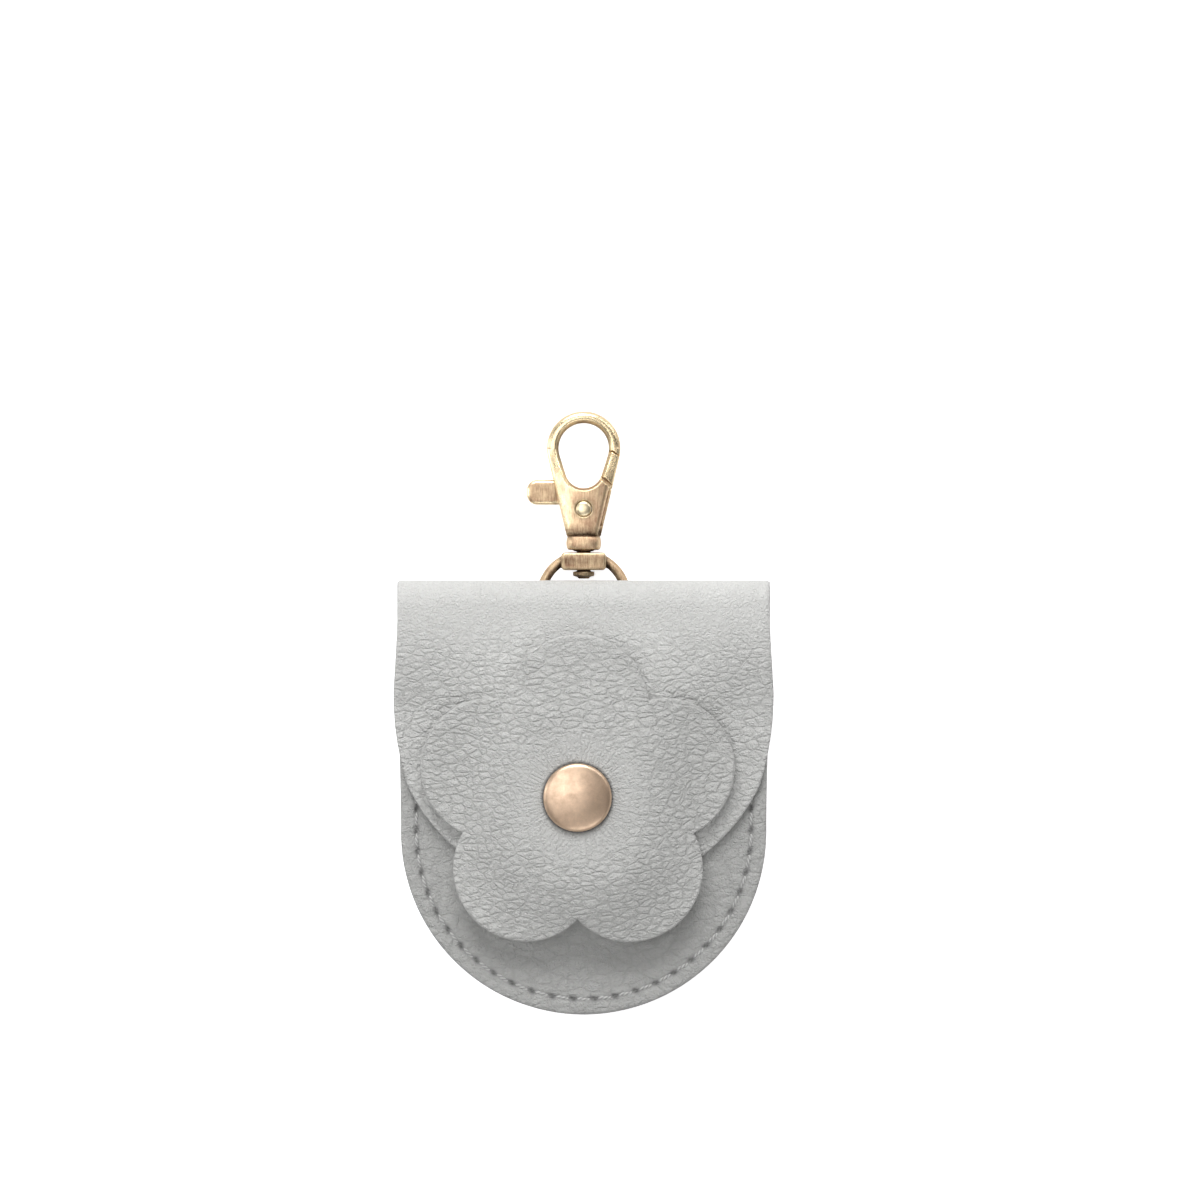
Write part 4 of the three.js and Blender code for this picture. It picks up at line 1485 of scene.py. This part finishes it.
def hook_shade_and_highlight(x, y):
    """Painted shade on the post and its head, under the collar and round the pin, dark at the foot of the
    body, and a painted dark reflection inside the eye. Painted highlights on the left side and round the
    eye."""
    reach = np.where(y > body_foot, 1.7, 0.3)
    foot = 0.8 * np.exp(-(((y - body_foot) / reach) ** 2))
    under_collar = 0.85 * (1.0 - np.clip((y - 6.75) / 0.7, 0.0, 1.0))
    from_eye = np.hypot(x, y - hook_centre) - eye_radius
    inner = 0.75 * np.exp(-((from_eye / 0.45) ** 2)) * (y > eye_foot_centre)
    round_pin = 0.45 * np.exp(-(((np.hypot(x, y - pin_y) - 1.8) / 0.6) ** 2))
    dark = np.maximum(np.maximum(foot, inner), np.maximum(under_collar, round_pin))
    left_side = np.clip((-x - 1.2) / 2.5, 0.0, 1.0) * (y > body_foot + 1.5)
    eye_part = np.clip((y - fork_top + 2.0) / 5.0, 0.0, 1.0)
    return dark, 0.15 * np.maximum(left_side, eye_part)


hook = cast(
    "brass_hook", [fork_back, fork_front, collar, post], 0.13, 5, brass, hook_shade_and_highlight, shape=taper_eye
)
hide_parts("hook")
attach(hook, "hook")

# Lever
# A brass lever on the hook's pin: a hub in the slot, a thumb tab with a chamfered rim outside it, and the
# gate that closes the eye.
thumb_reach = 12.7
thumb_low = 16.85
thumb_high = 22.35
thumb_root = body_half(thumb_high) + gate_gap
hub_radius = 3.5
pin_radius = 1.75


def tab_outline():
    """The thumb tab: square at its root, round at its end."""
    corner = 2.3
    points = [(-thumb_root + 1.9, thumb_low), (-thumb_root + 1.9, thumb_high)]
    points += arc(corner - thumb_reach, thumb_high - corner, corner, 12, math.pi / 2, math.pi)
    points += arc(corner - thumb_reach, thumb_low + corner, corner, 12, math.pi, 1.5 * math.pi)
    filled = []
    for k, (x, y) in enumerate(points):
        x1, y1 = points[(k + 1) % len(points)]
        pieces = max(1, int(math.hypot(x1 - x, y1 - y) / 0.5))
        filled += [(mix(x, x1, s / pieces), mix(y, y1, s / pieces)) for s in range(pieces)]
    return filled


lever_low = clasp_height - lever_thickness / 2
lever_high = clasp_height + lever_thickness / 2
tab = pressed_plate("tab", tab_outline(), clasp_height - 1.5, clasp_height + 1.5, 0.95, 0.95)
hub = loft("hub", [circle(hub_radius, on_pin(z), 64) for z in (lever_low, lever_high)])
arm_outline = [
    (-body_half(thumb_high) + 0.4, thumb_high - 0.3),
    (-thumb_root - 1.8, thumb_high - 0.3),
    (-thumb_root - 1.8, thumb_low + 0.3),
    (-body_half(thumb_low), thumb_low + 0.3),
    (0.0, pin_y - hub_radius / 2),
    (0.0, pin_y + hub_radius),
]
arm = upright("arm", arm_outline, lever_low, lever_high)
shelf_first = math.radians(36)
shelf_last = math.radians(62)
shelf_outline = arc(0.0, pin_y, gate_inner + contact_mm, 12, shelf_first, shelf_last)
shelf_outline += arc(0.0, pin_y, pin_radius, 12, shelf_last, shelf_first)
shelf = upright("shelf", shelf_outline, lever_low, lever_high)
body_tool_outline = [(body_half(y), y) for y in steps(12, body_foot, 28.0)]
body_tool_outline += [(-body_half(y), y) for y in steps(12, 28.0, body_foot)]
body_tool = upright("body_tool", body_tool_outline, -3.0, 9.0)
fitted(shelf, body_tool, "INTERSECT")
gate = pressed_plate("gate", hook_outline(0.0), clasp_low, clasp_high, 0.7, 0.7)
fitted(gate, eye_tool())
fitted(gate, gate_tool(gate_inner, gate_outer), "INTERSECT")
for lever_part in (hub, arm, shelf):
    fitted(lever_part, pin_tool(1.9, 0.0))


def shape_lever(points):
    """The gate thins with the eye. The tab thins at its root, where it enters the slot."""
    points = taper_eye(points)
    middle = clasp_height * 0.001
    share = np.clip((points[:, 0] * 1000.0 + 8.4) / 1.2, 0.0, 1.0)
    limit = 0.0015 - 0.0004 * share
    flat = np.clip(points[:, 2] - middle, -limit, limit)
    points[:, 2] = np.where(points[:, 0] < -0.002, middle + flat, points[:, 2])
    return points




def lever_shade_and_highlight(x, y):
    """The tab is dull in its middle, has painted shade at its root next to the hook and is rubbed bright on
    its rim.
    """
    on_tab = x < -thumb_root + 1.9
    from_rim = np.minimum(np.minimum(y - thumb_low, thumb_high - y), x + thumb_reach)
    middle = 0.22 * np.clip((from_rim - 0.7) / 0.5, 0.0, 1.0)
    root = 0.6 * np.clip(1.0 - np.abs(x + thumb_root - 0.9) / 0.9, 0.0, 1.0)
    rim = 0.3 * np.clip((0.9 - from_rim) / 0.4, 0.0, 1.0)
    return np.where(on_tab, np.maximum(middle, root), 0.0), np.where(on_tab, rim - 0.1, 0.15)


trigger = cast("brass_lever", [tab, hub, arm, shelf, gate], 0.12, 4, brass, lever_shade_and_highlight, shape=shape_lever)
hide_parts("trigger")
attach(trigger, "lever")

# Pin
# A brass rivet through the fork and the lever's hub, with a slightly domed bright head.
pin_profile = [
    (0.02, 0.3),
    (1.2, 0.3),
    (1.6, 0.38),
    (pin_radius, 0.6),
    (pin_radius, 5.6),
    (1.72, 5.82),
    (1.62, 5.98),
    (1.44, 6.1),
    (1.1, 6.19),
    (0.6, 6.24),
    (0.02, 6.25),
]
pin_brass = plated_metal(
    "bright_pin_brass", (0.86, 0.7, 0.45), (1.0, 0.9, 0.64), (0.08, 0.05, 0.03), 0.3, 0.4, 0.3, marked=False
)
pin = loft("brass_pin", [circle(radius, on_pin(z), 64) for radius, z in pin_profile])
pin.data.materials.append(pin_brass)
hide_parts("trigger_pin")
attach(pin, "hook")
